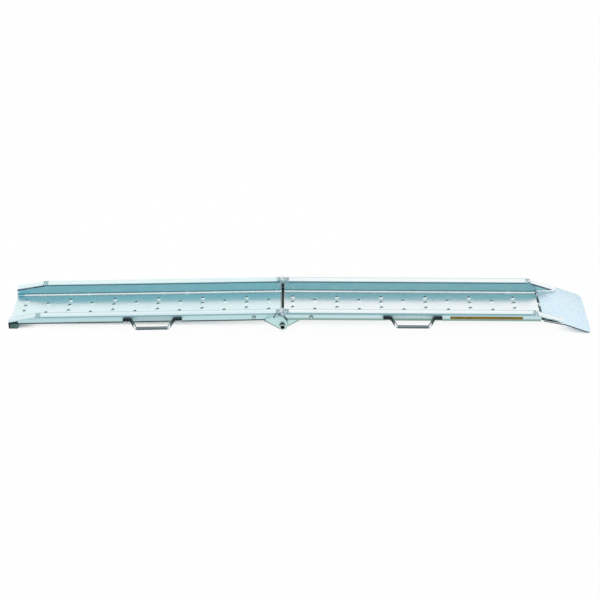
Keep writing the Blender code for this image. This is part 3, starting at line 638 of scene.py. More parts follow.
def tongue_marks(at):
    normal = node(at.tree, "ShaderNodeNewGeometry", out="True Normal")
    at.upright = abs(split(normal)[1])
    fall = (at.along - TONGUE_BEND).calc("MAXIMUM", 0.0) * TONGUE_SLOPE
    at.depth = TONGUE_TOP + HINGE_BELOW_DECK - (at.up + fall)
    at.inset = (at.along - TONGUE_REAR) * 0.35 + 0.118 - at.across
    at.fine, at.coarse = (noise(at.place, scale, 3.0, 0.65) for scale in (130.0, 95.0))
    # The mottle is the tongue's own; its near edge, the part under the rails and its rear edge get
    # painted light and shade.
    at.marks("pale mottle", "blue mottle", "edge highlight", "edge shadow", "shade under rail", "rear edge")


print("small marks ready")

# %% [markdown]
# ## The finishes by name
# Ground and truck section are rolled from the same sheet, and differ only in how greenish the light
# makes them. Each body gets its own copy, because each has its own Mapping.

# %% Metal finishes
# Most LOOK values tune painted light and shade in the webs, bends, lip edges, deck ends and by the
# hinge.
LOOK = each(
    {
        "tint": (0.80, 0.93, 0.94), "shade": (0.71, 0.88, 0.90), "web": (0.55, 0.80, 0.85),
        "deck_end": (0.05, 0.09, 0.09), "strip": 0.0070, "lip_line": (0.0466, 0.0500, 0.1412),
        "hem": (0.015, 0.035, 0.028), "hem_top": 0.0281, "blue_end": 0.55, "lip_end": 1.012,
        "burn": False, "polish_end": 1.022, "flange_line": 0.62,
        "lug_strokes": (((0.0054, 0.0440), (0.0225, 0.0175)),
                        ((-0.0345, 0.0350), (-0.0275, 0.0425))),
        "strokes": (((0.0300, 0.0420), (0.0226, 0.0515)), ((0.0165, 0.0515), (0.0090, 0.0440)))},
    {
        "tint": (0.92, 0.96, 0.975), "shade": (0.85, 0.92, 0.94), "web": (0.47, 0.74, 0.77),
        "deck_end": (0.98, 1.0, 1.0), "strip": 0.0090, "lip_line": (0.0452, 0.0520, 0.1388),
        "hem": (0.35, 0.49, 0.44), "hem_top": 0.0325, "blue_end": 0.0, "lip_end": 0.990,
        "burn": True, "polish_end": 2.0, "flange_line": 0.35, "lug_strokes": (),
        "strokes": (((0.0002, 0.0480), (0.0204, 0.0180)),)})


def metals(body, look):
    """Slot: name, tint, shade, roughness, and what else is special."""
    sheet = (look["tint"], look["shade"], 0.26)
    return {
        "rolled_sheet": ("sheet", *sheet, {"marks": sheet_marks(body, look)}),
        "dimple": ("dimple", *sheet, {"marks": dome_marks}),
        "tongue_plate": ("tongue", (0.76, 0.91, 0.99), (0.69, 0.86, 0.96), 0.46,
                         {"grain": (70.0,) * 3, "dent": 0.0003, "marks": tongue_marks}),
        "end_plate": ("end_plate", (0.90, 0.93, 0.94), (0.76, 0.81, 0.82), 0.36,
                      {"mirror": 0.6, "marks": plate_marks}),
        # The lug's dark edge tint is painted shade, not wear.
        "hinge_lug": ("lug", (0.60, 0.80, 0.80), (0.50, 0.71, 0.70), 0.36,
                      {"grain": (90.0,) * 3, "marks": lug_marks(look["lug_strokes"]),
                       "edge_tint": (0.10, 0.20, 0.20), "edge_reach": 0.0026}),
        "rail_bar": ("bar", (0.76, 0.82, 0.83), (0.62, 0.69, 0.70), 0.34, {}),
        "handle_rod": ("rod", (0.09, 0.145, 0.135), (0.055, 0.09, 0.085), 0.28,
                       {"grain": (8.0, 420.0, 420.0), "marks": rod_marks,
                        "edge_tint": (0.30, 0.36, 0.36)}),
        # The pin's near-black colour is painted shade: it makes the slot over it read dark.
        "hinge_rod": ("pin", (0.04, 0.075, 0.07), (0.02, 0.045, 0.04), 0.50,
                      {"grain": (60.0, 4.0, 60.0), "edge_tint": (0.25, 0.30, 0.30)}),
        "hinge_collar": ("collar", (0.035, 0.05, 0.05), (0.02, 0.03, 0.03), 0.40,
                         {"grain": (60.0, 700.0, 60.0), "marks": collar_marks,
                          "edge_tint": (0.16, 0.21, 0.21)}),
        "zinc_steel": ("zinc", (0.62, 0.72, 0.71), (0.52, 0.61, 0.60), 0.33,
                       {"grain": (120.0,) * 3, "marks": bolt_marks}),
        "weld": ("weld", (0.96, 0.98, 0.99), (0.88, 0.92, 0.94), 0.42,
                 {"grain": (150.0,) * 3, "dent": 0.0004, "mirror": 0.4, "marks": seam_marks(body)}),
    }


FINISH = {}
for body, label in SECTIONS:
    FINISH[body] = {slot: metal(label + "_" + name, body, tint, shade, rough, **more)
                    for slot, (name, tint, shade, rough, more) in metals(body, LOOK[body]).items()}
    print(body, "metal finishes", len(FINISH[body]))

# %% [markdown]
# ## Rubber and a plain strip
# The feet and end caps are dark rubber: no metal, a dull face, fine pores and paler, scuffed edges.
# Where the real rail carries a printed strip, this part carries a plain one of a single colour.

# %% Dull finishes
DULL = {
    "foot_block": ("foot", (0.135, 0.235, 0.21), (0.10, 0.17, 0.155), 0.62, 900.0),
    "end_cap": ("cap", (0.016, 0.021, 0.021), (0.010, 0.013, 0.013), 0.60, 900.0),
    "plain_strip": ("strip", (0.34, 0.185, 0.006), (0.26, 0.145, 0.006), 0.60, 500.0),
}


def dull(name, body, tint, shade, rough, pores):
    material = bpy.data.materials.new(name)
    tree = empty_tree(material)
    place = section_place(tree, body)
    cloud, pore = noise(place, 40.0, 4.0, 0.6), noise(place, pores, 3.0, 0.7)
    edge, rounded = edge_mask(tree, 0.0010)
    colour = mix_colour(ramp_up(cloud, 0.35, 0.65), rgb(*tint), rgb(*shade))
    pale = tuple(min(2.2 * value + 0.03, 0.8) for value in tint)
    colour = mix_colour(edge * ramp_up(pore, 0.35, 0.6), colour, rgb(*pale))
    sockets = {"Strength": 0.5, "Distance": 0.0003, "Height": pore, "Normal": rounded}
    bump = node(tree, "ShaderNodeBump", sockets)
    sockets = {"Base Color": colour, "Roughness": pore * 0.25 + (rough - 0.12), "Normal": bump}
    surface = node(tree, "ShaderNodeBsdfPrincipled", sockets)
    node(tree, "ShaderNodeOutputMaterial", {0: surface})
    return material


for body, label in SECTIONS:
    for slot, (name, *numbers) in DULL.items():
        FINISH[body][slot] = dull(label + "_" + name, body, *numbers)
    print("dull finishes", [FINISH[body][slot].name for slot in DULL])

# %% [markdown]
# ## Bodies of the pieces
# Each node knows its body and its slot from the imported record. The two channels stay as they are
# and only change material: their shape is right, and their pressed domes get a skin further on.

# %% Nodes, bodies and slots
BODY_OF = {n: b for b, names in frame["record"]["behaviour"]["bodies"].items() for n in names}
SLOT_OF = {part["node"]: part["material_slot"] for part in frame["record"]["subparts"]}


def give(obj, material):
    """One material for the whole object."""
    if not obj.data.materials:
        obj.data.materials.append(material)
    for index in range(len(obj.data.materials)):
        obj.data.materials[index] = material


def add_object(name, data):
    """A new object at the origin of the scene."""
    obj = bpy.data.objects.new(name, data)
    bpy.context.scene.collection.objects.link(obj)
    return obj


for name in ("ground_channel", "truck_channel"):
    give(frame["nodes"][name], FINISH[BODY_OF[name]]["rolled_sheet"])
    print(name, "finished,", len(frame["nodes"][name].data.polygons), "triangles")

# %% [markdown]
# ## Broken edges
# A cut or sawn plate never has a knife edge. Modelling the plate again would only risk a wrong
# shape, so a copy of the CAD solid is cleaned of its loose triangles, its sharp edges are
# bevelled by a few tenths of a millimetre, and the copy stands for the node. The bevel only takes
# metal away, so the piece still fits where the solid was.

# %% Rounded copies
MERGE_DISTANCE = 2e-6
EDGE_WIDTH = {"end_plate": 0.0006, "hinge_lug": 0.0006, "rail_bar": 0.0005, "hinge_rod": 0.0004,
              "hinge_collar": 0.0003, "zinc_steel": 0.0003, "foot_block": 0.0010, "end_cap": 0.0007,
              "tongue_plate": 0.0010}


def rounded_copy(name, width):
    mesh = bpy.data.meshes.new(name + "_finished")
    form = bmesh.new()
    form.from_mesh(frame["nodes"][name].data)
    bmesh.ops.remove_doubles(form, verts=form.verts, dist=MERGE_DISTANCE)
    bmesh.ops.dissolve_limit(form, angle_limit=math.radians(1.0), verts=form.verts, edges=form.edges)
    sharp = [e for e in form.edges if len(e.link_faces) == 2 and e.calc_face_angle() > math.radians(32)]
    bmesh.ops.bevel(form, geom=sharp, offset=width, segments=2, profile=0.5, affect="EDGES",
                    clamp_overlap=True)
    bmesh.ops.recalc_face_normals(form, faces=form.faces)
    form.to_mesh(mesh)
    form.free()
    mesh.shade_smooth()
    mesh.set_sharp_from_angle(angle=math.radians(30))
    obj = add_object(name + "_finished", mesh)
    mesh.materials.append(FINISH[BODY_OF[name]][SLOT_OF[name]])
    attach(obj, BODY_OF[name])
    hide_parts(name)
    return obj


for name, slot in SLOT_OF.items():
    if slot in EDGE_WIDTH:
        made = rounded_copy(name, EDGE_WIDTH[slot])
        print(made.name, len(made.data.polygons), "faces")

# %% [markdown]
# ## Geometry Nodes, built in the script
# What repeats or follows a line is grown by Geometry Nodes: dimples, round bar, weld beads, threads
# and ribs. Each tree is made here with named inputs, so that one tree serves many pieces. grow()
# puts a tree on a line or an empty mesh, sets its inputs by their identifiers before the first
# evaluation, and keeps the result as a plain mesh that rides on its body.

# %% Growing pieces


def new_tree(name, values):
    """An empty tree with an input for each value, and all of its inputs as wires."""
    tree = bpy.data.node_groups.new(name, "GeometryNodeTree")
    for way in ("INPUT", "OUTPUT"):
        tree.interface.new_socket("Geometry", in_out=way, socket_type="NodeSocketGeometry")
    for label, value in values.items():
        kind = "NodeSocketInt" if isinstance(value, int) else "NodeSocketFloat"
        tree.interface.new_socket(label, in_out="INPUT", socket_type=kind).default_value = value
    tree.interface.new_socket("Finish", in_out="INPUT", socket_type="NodeSocketMaterial")
    sockets = tree.nodes.new("NodeGroupInput").outputs
    return tree, {socket.name: Wire(tree, socket) for socket in sockets if socket.name}


def sweep(curve, sides, radius, **more):
    """A tube along a curve, closed at both ends."""
    sockets = {"Resolution": sides, "Radius": radius}
    ring = node(curve.tree, "GeometryNodeCurvePrimitiveCircle", sockets)
    sockets = {"Curve": curve, "Profile Curve": ring, "Fill Caps": True, **more}
    return node(curve.tree, "GeometryNodeCurveToMesh", sockets)


def close_tree(geometry, finish):
    """Every tree ends the same way: real geometry, smooth, with its finish."""
    tree = geometry.tree
    smooth = node(tree, "GeometryNodeSetShadeSmooth", {0: geometry})
    real = node(tree, "GeometryNodeRealizeInstances", {0: smooth})
    painted = node(tree, "GeometryNodeSetMaterial", {"Geometry": real, "Material": finish})
    node(tree, "NodeGroupOutput", {0: painted})
    print(tree.name, len(tree.nodes), "nodes")


def line_mesh(name, lines):
    """A mesh of open lines, each a list of points."""
    points, edges = [], []
    for line in lines:
        edges += [(len(points) + i, len(points) + i + 1) for i in range(len(line) - 1)]
        points += [tuple(p) for p in line]
    mesh = bpy.data.meshes.new(name)
    mesh.from_pydata(points, edges, [])
    return mesh


def grow(name, body, tree, finish, values=None, lines=(), place=None):
    obj = bpy.data.objects.new(name, line_mesh(name, lines))
    modifier = obj.modifiers.new("grow", "NODES")
    modifier.node_group = tree
    values = dict(values or {}, Finish=FINISH[body][finish])
    for item in tree.interface.items_tree:
        if item.item_type == "SOCKET" and item.in_out == "INPUT" and item.name in values:
            modifier[item.identifier] = values[item.name]
    bpy.context.scene.collection.objects.link(obj)
    grown = obj.evaluated_get(bpy.context.evaluated_depsgraph_get())
    mesh = bpy.data.meshes.new_from_object(grown)
    obj.modifiers.clear()
    obj.data = mesh
    mesh.name = name
    mesh.transform(section_matrix(body) @ (place or Matrix()))
    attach(obj, body)
    print(name, len(mesh.polygons), "faces")
    return obj


# %% [markdown]
# ## Pressed dimples
# The deck is pressed from below into small domes, in columns of four and of two by turns, so that
# a tyre grips. CAD keeps them coarse. Here a cone's rings are laid out as a dome that runs into the
# deck without a corner, its profile drawn with a Float Curve, and the dome is put on two grids.
# A press never hits twice alike, so a seeded random value moves each dome by a fraction of a
# millimetre and changes its height a little.

# %% Dimple tree
DOME_PROFILE = ((0.0, 1.0), (0.2, 0.975), (0.4, 0.885), (0.6, 0.68), (0.72, 0.45), (0.82, 0.20),
                (0.92, 0.05), (1.0, 0.0))
DOME_SINK = 0.0001
STIR = 0.0002


def dome_form(tree, inputs):
    """One dome: a cone of rings, each ring lifted to its height on the profile."""
    radius = inputs["Dome Radius"]
    sockets = {0: 24, 1: 9, 3: 0.0, 4: radius, 5: 0.001}
    cone = node(tree, "GeometryNodeMeshCone", sockets, fill_type="NONE")
    x, y, _ = split(node(tree, "GeometryNodeInputPosition"))
    flat = node(tree, "ShaderNodeCombineXYZ", {0: x, 1: y})
    length = node(tree, "ShaderNodeVectorMath", {0: flat}, out="Value", operation="LENGTH")
    curve = node(tree, "ShaderNodeFloatCurve", {"Value": length / radius})
    mapping = curve.socket.node.mapping
    mapping.curves[0].points[0].location = DOME_PROFILE[0]
    mapping.curves[0].points[1].location = DOME_PROFILE[-1]
    for point in DOME_PROFILE[1:-1]:
        mapping.curves[0].points.new(*point)
    mapping.update()
    height = curve * inputs["Dome Height"] - DOME_SINK
    share = node(tree, "ShaderNodeCombineXYZ", {0: x / radius, 1: y / radius})
    sockets = {"Geometry": cone, "Name": "dome_place", "Value": share}
    kept = node(tree, "GeometryNodeStoreNamedAttribute", sockets, data_type="FLOAT_VECTOR",
                domain="POINT")
    place = node(tree, "ShaderNodeCombineXYZ", {0: x, 1: y, 2: height})
    return node(tree, "GeometryNodeSetPosition", {"Geometry": kept, "Position": place})


def dome_grid(tree, inputs, dome, label, rows, seed_step):
    """Domes on a grid: columns two pitches apart, counted from the hinge."""
    columns = inputs[label + " Row Columns"]
    spread = (columns - 1.0) * (inputs["Column Pitch"] * 2.0)
    width = inputs[label + " Row Pitch"] * float(rows - 1)
    grid = node(tree, "GeometryNodeMeshGrid", {0: spread, 1: width, 2: columns, 3: rows})
    middle = (inputs[label + " Row First"] + spread * 0.5) * inputs["Side"]
    shift = node(tree, "ShaderNodeCombineXYZ", {0: middle})
    grid = node(tree, "GeometryNodeSetPosition", {"Geometry": grid, "Offset": shift})
    seed = inputs["Seed"] + float(seed_step)
    sockets = {0: (-STIR, -STIR, 0.0), 1: (STIR, STIR, 0.0), "Seed": seed}
    stir = node(tree, "FunctionNodeRandomValue", sockets, data_type="FLOAT_VECTOR")
    grid = node(tree, "GeometryNodeSetPosition", {"Geometry": grid, "Offset": stir})
    sockets = {0: (1.02, 1.02, 1.0), 1: (1.05, 1.05, 1.10), "Seed": seed}
    size = node(tree, "FunctionNodeRandomValue", sockets, data_type="FLOAT_VECTOR")
    return node(tree, "GeometryNodeInstanceOnPoints", {"Points": grid, "Instance": dome, "Scale": size})


dimple_tree, inputs = new_tree("pressed_dimples", {
    "Four Row Columns": 6, "Two Row Columns": 6, "Four Row First": 0.1414, "Two Row First": 0.0548,
    "Column Pitch": 0.0866, "Four Row Pitch": 0.0405, "Two Row Pitch": 0.068,
    "Dome Radius": 0.0092, "Dome Height": 0.0052, "Side": 1.0, "Seed": 3})
dome = dome_form(dimple_tree, inputs)
both = dimple_tree.nodes.new("GeometryNodeJoinGeometry")
for label, rows, seed_step in (("Four", 4, 0), ("Two", 2, 7)):
    domes = dome_grid(dimple_tree, inputs, dome, label, rows, seed_step)
    dimple_tree.links.new(domes.socket, both.inputs[0])
close_tree(Wire(dimple_tree, both.outputs[0]), inputs["Finish"])

# %% [markdown]
# ## Dimples on both decks
# Counted from the hinge, the ground deck starts with a column of two, the truck deck with one of
# four. The tree is the same, and only its numbers differ.

# %% Dimples on both decks
DIMPLES = each(
    {"Two Row Columns": 6, "Four Row First": 0.1414, "Two Row First": 0.0548, "Seed": 3},
    {"Two Row Columns": 5, "Four Row First": 0.0382, "Two Row First": 0.1248, "Seed": 11})
for body, label in SECTIONS:
    values = dict(DIMPLES[body], Side=float(SIDE[body]))
    grow(label + "_dimples", body, dimple_tree, "dimple", values)

# %% [markdown]
# ## Round bar handles
# Each handle is one piece of 12.5 mm bar, bent four times and welded to the near lip. A bar follows
# a path, so the tree takes the path's corners, rounds them with Fillet Curve as a pipe bender does,
# and sweeps a circle along it. The copy stands for the CAD node, which has fewer sides.

# %% Bar tree and handles
bar_tree, inputs = new_tree("bent_bar", {
    "Bar Radius": BAR_RADIUS, "Bend Radius": 0.012, "Bend Steps": 10, "Sides": 28})
path = node(bar_tree, "GeometryNodeMeshToCurve", {0: inputs["Geometry"]})
sockets = {"Curve": path, "Count": inputs["Bend Steps"], "Radius": inputs["Bend Radius"]}
path = node(bar_tree, "GeometryNodeFilletCurve", sockets, mode="POLY")
close_tree(sweep(path, inputs["Sides"], inputs["Bar Radius"]), inputs["Finish"])

HALF_BAR = [(BAR_END, -FOOT_Y, FOOT_Z), (LEG_FOOT, -FOOT_Y, FOOT_Z), (GRIP_HALF, -GRIP_Y, GRIP_Z)]
HANDLE_CORNERS = [(-x, y, z) for x, y, z in HALF_BAR] + HALF_BAR[::-1]
for body, label in SECTIONS:
    corners = [(SIDE[body] * HANDLE_CENTRE + x, y, z) for x, y, z in HANDLE_CORNERS]
    bar = grow(label + "_handle_bar", body, bar_tree, "handle_rod", lines=[corners])
    bar.data.set_sharp_from_angle(angle=math.radians(60))
    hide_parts(label + "_handle")

# %% [markdown]
# ## Weld beads
# A weld is a row of small frozen puddles. Instead of thousands of discs, one tube is swept along
# the seam and its size rises and falls once for each puddle, with a noise that makes it wander.
# Half of the tube sinks into the corner that it fills. The ends taper off as the torch leaves.

# %% Bead tree
bead_tree, inputs = new_tree("weld_bead", {
    "Bead Radius": 0.002, "Puddle Pitch": 0.0024, "Puddle Depth": 0.16, "Wander": 0.0006,
    "Seed": 1.0})
position = node(bead_tree, "GeometryNodeInputPosition")


def seam_noise(scale, detail, out):
    sockets = {"Vector": position, "W": inputs["Seed"], "Scale": scale, "Detail": detail}
    return node(bead_tree, "ShaderNodeTexNoise", sockets, out=out, noise_dimensions="4D")


seam = node(bead_tree, "GeometryNodeMeshToCurve", {0: inputs["Geometry"]})
sockets = {"Curve": seam, "Length": inputs["Puddle Pitch"] * 0.25}
seam = node(bead_tree, "GeometryNodeResampleCurve", sockets, mode="LENGTH")
sockets = {0: seam_noise(90.0, 1.0, "Color"), 1: (0.5, 0.5, 0.5)}
sway = node(bead_tree, "ShaderNodeVectorMath", sockets, operation="SUBTRACT")
sway = node(bead_tree, "ShaderNodeVectorMath", {0: sway, 3: inputs["Wander"]}, operation="SCALE")
seam = node(bead_tree, "GeometryNodeSetPosition", {"Geometry": seam, "Offset": sway})
length, factor = (node(bead_tree, "GeometryNodeSplineParameter", out=out)
                  for out in ("Length", "Factor"))
wave = (length / inputs["Puddle Pitch"] * (2 * math.pi)).calc("SINE")
swell = wave * inputs["Puddle Depth"] + 0.85 + (seam_noise(60.0, 2.0, 0) - 0.5) * 0.9
size = swell * ramp_up(factor * (1.0 - factor), -0.02, 0.06)
close_tree(sweep(seam, 8, inputs["Bead Radius"], Scale=size), inputs["Finish"])

# %% [markdown]
# ## Seams of the rails
# The seams are written in the section's frame as corners of lines. Both rails have the same ones,
# mirrored: across the flange and down the web behind the stop plate, across the flange where the
# rail is bent down, and under the bent flange.

# %% Rail seams
HANDS = ((-1, "near"), (1, "far"))
STOP_SEAM = 0.0068


def stop_seam(body, hand):
    """Behind the stop plate: down the web inside, over the flange."""
    x, inside = SIDE[body] * STOP_SEAM, hand * (WEB_INSIDE - 0.0004)
    return [(x, inside, 0.009), (x, inside, RAIL_TOP - 0.003),
            (x, hand * (WEB_INSIDE + 0.003), RAIL_TOP), (x, hand * (LIP_OUTSIDE - 0.003), RAIL_TOP),
            (x, hand * LIP_OUTSIDE, RAIL_TOP - 0.003)]


def taper_seams(body, hand):
    """Over the flange at the bend, and along the cut web under the bent flange."""
    start, end = TAPER_START[body], RAIL_END[body]
    x = SIDE[body] * start
    over = [(x, hand * (WEB_INSIDE + 0.002), RAIL_TOP - 0.001),
            (x, hand * (WEB_INSIDE + 0.005), RAIL_TOP), (x, hand * (LIP_OUTSIDE - 0.004), RAIL_TOP),
            (x, hand * LIP_OUTSIDE, RAIL_TOP - 0.004)]
    under = [(SIDE[body] * d, hand * (WEB_INSIDE + 0.0002), rail_height(body, d) - 0.0045)
             for d in (start + 0.004, (start + end) / 2, end - 0.012)]
    return [over, under]


for body, label in SECTIONS:
    seams = []
    for hand, _ in HANDS:
        seams += [stop_seam(body, hand), *taper_seams(body, hand)]
    values = {"Bead Radius": 0.0019, "Seed": 2.0 + SIDE[body]}
    grow(label + "_rail_welds", body, bead_tree, "weld", values, seams)

# %% [markdown]
# ## Seams of the lugs, the handles and the tongue
# The outer lugs are welded round their upper edge, and the handle's feet below. The heaviest welds
# stand where the cut webs meet the tongue: they fill the corner with a bead as thick as a finger,
# and a few stitches hold the tongue's rear edge to the deck.

# %% Lug, handle and tongue seams
LUG_OUTLINE = ((0.0685, 0.0185), (0.0581, 0.0306), (0.035, 0.0366), (0.006, 0.0366))
STITCHES = ((0.094, 0.078), (0.022, -0.006), (-0.084, -0.097))


def lug_seam(hand):
    return [(-x, hand * (LIP_OUTSIDE + 0.0006), z) for x, z in LUG_OUTLINE]


def handle_seams(body):
    centre, y, z = SIDE[body] * HANDLE_CENTRE, -(LIP_OUTSIDE + 0.0014), 0.0206
    return [[(centre + a, y, z), (centre + b, y, z)] for a, b in ((-0.1125, -0.0850), (0.0850, 0.1125))]


def web_on_tongue(hand):
    """Along the web's foot and round the rail's tip."""
    y, z = hand * (WEB_INSIDE - 0.0030), TONGUE_TOP + 0.0012
    return [(1.0010, y, z - 0.002), (1.0060, y, z), (1.030, y, z), (1.066, y, z),
            (1.0745, hand * (WEB_INSIDE + 0.006), z), (1.0750, hand * (LIP_OUTSIDE - 0.004), z)]


def web_outside(hand):
    """Under the cut rail, between the web and the plate that it stands on."""
    return [(x, hand * (WEB_OUTSIDE + 0.0016), TONGUE_TOP + 0.0004) for x in (1.0080, 1.0660)]


grow("ground_lug_welds", "ground_section", bead_tree, "weld", {"Bead Radius": 0.0018, "Seed": 5.0},
     [lug_seam(-1), lug_seam(1)])
for body, label in SECTIONS:
    values = {"Bead Radius": 0.0040, "Seed": 7.0 + SIDE[body]}
    grow(label + "_handle_welds", body, bead_tree, "weld", values, handle_seams(body))
stitches = [[(TONGUE_REAR - 0.0006, y, 0.0025) for y in span] for span in STITCHES]
for name, radius, pitch, wander, seed, seams in (
        ("tongue_web_welds", 0.0066, 0.0048, 0.0022, 4.0, [web_on_tongue(-1), web_on_tongue(1)]),
        ("rail_end_welds", 0.0018, 0.0026, 0.0006, 6.0, [web_outside(-1), web_outside(1)]),
        ("tongue_stitches", 0.0028, 0.0030, 0.0020, 9.0, stitches)):
    values = {"Bead Radius": radius, "Puddle Pitch": pitch, "Wander": wander, "Seed": seed}
    grow(name, "truck_section", bead_tree, "weld", values, seams)

# %% [markdown]
# ## Screw threads
# CAD keeps a bolt as a plain cylinder. The thread only shows where the bolt's end stands out of its
# nut, under the rail. A spiral with a three-sided profile is enough there, and it is cheap.

# %% Thread tree and bolt ends
BOLT_END = 0.1251

thread_tree, inputs = new_tree("screw_thread", {
    "Turns": 3.0, "Thread Radius": 0.0039, "Height": 0.003, "Tooth": 0.0006})
sockets = {"Resolution": 24, "Rotations": inputs["Turns"], "Start Radius": inputs["Thread Radius"],
           "End Radius": inputs["Thread Radius"], "Height": inputs["Height"]}
coil = node(thread_tree, "GeometryNodeCurveSpiral", sockets)
close_tree(sweep(coil, 3, inputs["Tooth"]), inputs["Finish"])

for body, label in SECTIONS:
    for hand, side in HANDS:
        turn = Matrix.Rotation(math.radians(-90 * hand), 4, "X")
        spot = Matrix.Translation((SIDE[body] * BOLT_DISTANCE, hand * BOLT_END, BOLT_HEIGHT)) @ turn
        grow(label + "_thread_" + side, body, thread_tree, "zinc_steel",
             {"Turns": 2.5, "Height": 0.0022}, place=spot)

# %% [markdown]
# ## Ribs on the rubber feet
# The feet have upright ribs on their outer faces. They repeat at a fixed pitch, so one rounded bar
# is instanced along a line, and the tree's inputs are the count and the pitch.

# %% Rib tree and foot ribs
FIRST_RIB = (-1.0425, 0.1429, 0.0062)

rib_tree, inputs = new_tree("rubber_ribs", {
    "Count": 6, "Pitch": 0.0046, "Rib Radius": 0.0010, "Rib Length": 0.013})
sockets = {"Vertices": 10, "Side Segments": 1, "Radius": inputs["Rib Radius"],
           "Depth": inputs["Rib Length"]}
rib = node(rib_tree, "GeometryNodeMeshCylinder", sockets)
offset = node(rib_tree, "ShaderNodeCombineXYZ", {0: inputs["Pitch"]})
row = node(rib_tree, "GeometryNodeMeshLine", {"Count": inputs["Count"], "Offset": offset})
ribs = node(rib_tree, "GeometryNodeInstanceOnPoints", {"Points": row, "Instance": rib})
close_tree(ribs, inputs["Finish"])
for hand, side in HANDS:
    spot = Matrix.Translation((FIRST_RIB[0], hand * FIRST_RIB[1], FIRST_RIB[2]))
    made = grow("foot_ribs_" + side, "ground_section", rib_tree, "foot_block",
                {"Rib Length": 0.0145}, place=spot)
    made.data.set_sharp_from_angle(angle=math.radians(50))

# %% [markdown]
# ## The plain strip on the near rail
# The real rail carries a printed strip near the tongue. A reusable part carries no words, so this is
# a bare strip of the same size: a thin plate with rounded corners, a hair proud of the lip.

# %% Plain strip
STRIP_ENDS, STRIP_HEIGHTS, STRIP_CORNER = (0.641, 0.919), (0.0235, 0.0350), 0.002
STRIP_BACK, STRIP_FRONT = LIP_OUTSIDE + 0.00005, LIP_OUTSIDE + 0.00045


def strip_outline(x0, x1, z0, z1, radius, steps=5):
    left, right, low, high = x0 + radius, x1 - radius, z0 + radius, z1 - radius
    corners = ((right, high, 0), (left, high, 90), (left, low, 180), (right, low, 270))
    outline = []
    for x, z, start in corners:
        for step in range(steps + 1):
            angle = math.radians(start + 90 * step / steps)
            outline.append((x + radius * math.cos(angle), z + radius * math.sin(angle)))
    return outline


form = bmesh.new()
outline = strip_outline(*STRIP_ENDS, *STRIP_HEIGHTS, STRIP_CORNER)
back = [form.verts.new((x, -STRIP_BACK, z)) for x, z in outline]
front = [form.verts.new((x, -STRIP_FRONT, z)) for x, z in outline]
form.faces.new(back)
form.faces.new(list(reversed(front)))
for i in range(len(back)):
    k = (i + 1) % len(back)
    form.faces.new((back[i], back[k], front[k], front[i]))
bmesh.ops.recalc_face_normals(form, faces=form.faces)
strip_mesh = bpy.data.meshes.new("plain_strip")
form.to_mesh(strip_mesh)
form.free()
strip_mesh.transform(section_matrix("truck_section"))
strip_mesh.materials.append(FINISH["truck_section"]["plain_strip"])
strip = add_object("plain_strip", strip_mesh)
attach(strip, "truck_section")
print("strip", len(strip_mesh.polygons), "faces")

# %% [markdown]
# ## Floor
# The ramp stands on a plain pale floor in front of a white sweep. To the camera the floor is mostly
# white, with a part of its real, lit colour, so that the ramp's soft shadow stays.

# %% Floor
WHITE = rgb(1.0, 1.0, 1.0)


def seen_rays(tree, mirror=1.0):
    """1 for camera and transmission rays, and mirror for the glossy rays that metal reflects."""
    camera_ray, glossy_ray, clear_ray = (
        node(tree, "ShaderNodeLightPath", out=kind)
        for kind in ("Is Camera Ray", "Is Glossy Ray", "Is Transmission Ray"))
    return either(either(camera_ray, clear_ray), glossy_ray * mirror)


def white_to_camera(surface, open_share, close_share):
    """Mix in plain white for the camera, less of it close under the ramp."""
    tree = surface.tree
    openness = node(tree, "ShaderNodeAmbientOcclusion", {"Distance": 0.05}, out="AO", samples=8)
    share = mix_value(ramp_up(openness, 0.14, 0.50), close_share, open_share)
    white = node(tree, "ShaderNodeEmission", {"Color": WHITE, "Strength": 1.0})
    return node(tree, "ShaderNodeMixShader", {0: seen_rays(tree) * share, 1: surface, 2: white})


floor_mesh = bpy.data.meshes.new("floor")
floor_mesh.from_pydata([(-9, -8, 0), (9, -8, 0), (9, 9, 0), (-9, 9, 0)], [], [(0, 1, 2, 3)])
floor = add_object("floor", floor_mesh)
floor_paint = bpy.data.materials.new("floor_paint")
tree = empty_tree(floor_paint)
paper = node(tree, "ShaderNodeBsdfDiffuse", {"Color": rgb(0.80, 0.81, 0.81)})
node(tree, "ShaderNodeOutputMaterial", {0: white_to_camera(paper, 0.965, 0.12)})
floor_mesh.materials.append(floor_paint)
print("floor ready")

# %% [markdown]
# ## Studio
# Bright metal shows what is round it: a white sweep behind and above gives the pale deck and
# flanges, and the darker, bluish room behind the camera gives the deep webs and the dark lines
# along the bends.

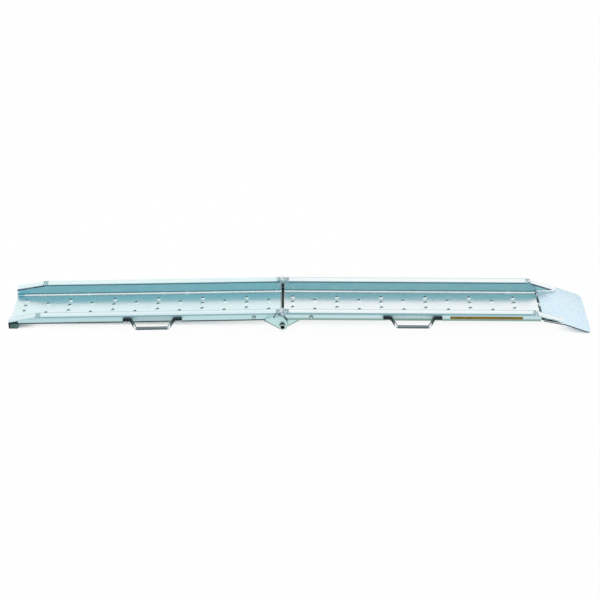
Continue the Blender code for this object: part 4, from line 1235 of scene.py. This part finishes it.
# %% World
world = bpy.data.worlds.new("studio")
bpy.context.scene.world = world
tree = empty_tree(world)
_, depth, height = split(node(tree, "ShaderNodeTexCoord", out="Generated"))
room = ramp_up(depth * -1.0, 0.15, 0.60) * ramp_up(height, 0.80, 0.60)
sky = mix_colour(room, rgb(0.96, 0.98, 1.0), rgb(0.245, 0.505, 0.565))
lit = node(tree, "ShaderNodeBackground", {"Color": sky, "Strength": 0.95})
plain = node(tree, "ShaderNodeBackground", {"Color": WHITE, "Strength": 1.0})
seen = node(tree, "ShaderNodeMixShader", {0: seen_rays(tree, 1.0 - room), 1: lit, 2: plain})
node(tree, "ShaderNodeOutputWorld", {0: seen})
print("world ready")

# %% [markdown]
# ## Light
# One wide soft lamp hangs over the ramp, a little to the rear, weak enough that pale metal doesn't
# clip. Metal reflects the studio and not the lamp, so no bright square shows on the deck.

# %% Lamp
lamp_data = bpy.data.lights.new("soft_lamp", "AREA")
lamp_data.shape = "RECTANGLE"
lamp_data.size, lamp_data.size_y = 4.0, 2.0
lamp_data.energy = 30.0
lamp = add_object("soft_lamp", lamp_data)
lamp.location = (-0.4, 0.6, 2.6)
lamp.rotation_euler = (math.radians(-12), 0, 0)
lamp.visible_glossy = False
print("lamp", lamp_data.energy, "W")

# %% [markdown]
# ## Camera
# The camera is the one that took the photograph: far off, 30 degrees up, with a long lens. It was
# fitted to the ramp's outline, so its place and its three directions are plain numbers, and the
# last small turn round its own axis is kept apart.

# %% Camera
CAMERA_PLACE = (-0.058723, -5.7111, 3.360802)
forward = Vector((0.0086349, 0.8660252, -0.4999258))
right = Vector((0.9998703, -0.0006807, 0.0160909))
up = Vector((-0.0135949, 0.4999999, 0.8659188))
roll = math.radians(-0.272)
right_rolled = right * math.cos(roll) + up * math.sin(roll)
up_rolled = up * math.cos(roll) - right * math.sin(roll)
turn = Matrix((right_rolled, up_rolled, -forward)).transposed()
camera_data = bpy.data.cameras.new("camera")
camera_data.lens = 101.8
camera_data.sensor_width = 36.0
camera_data.clip_end = 100.0
camera = add_object("camera", camera_data)
camera.matrix_world = Matrix.Translation(CAMERA_PLACE) @ turn.to_4x4()
bpy.context.scene.camera = camera
print("camera at", [round(v, 3) for v in camera.location])

# %% [markdown]
# Colours are written for the Standard view.

# %% Finish
scene = bpy.context.scene
scene.view_settings.view_transform = "Standard"
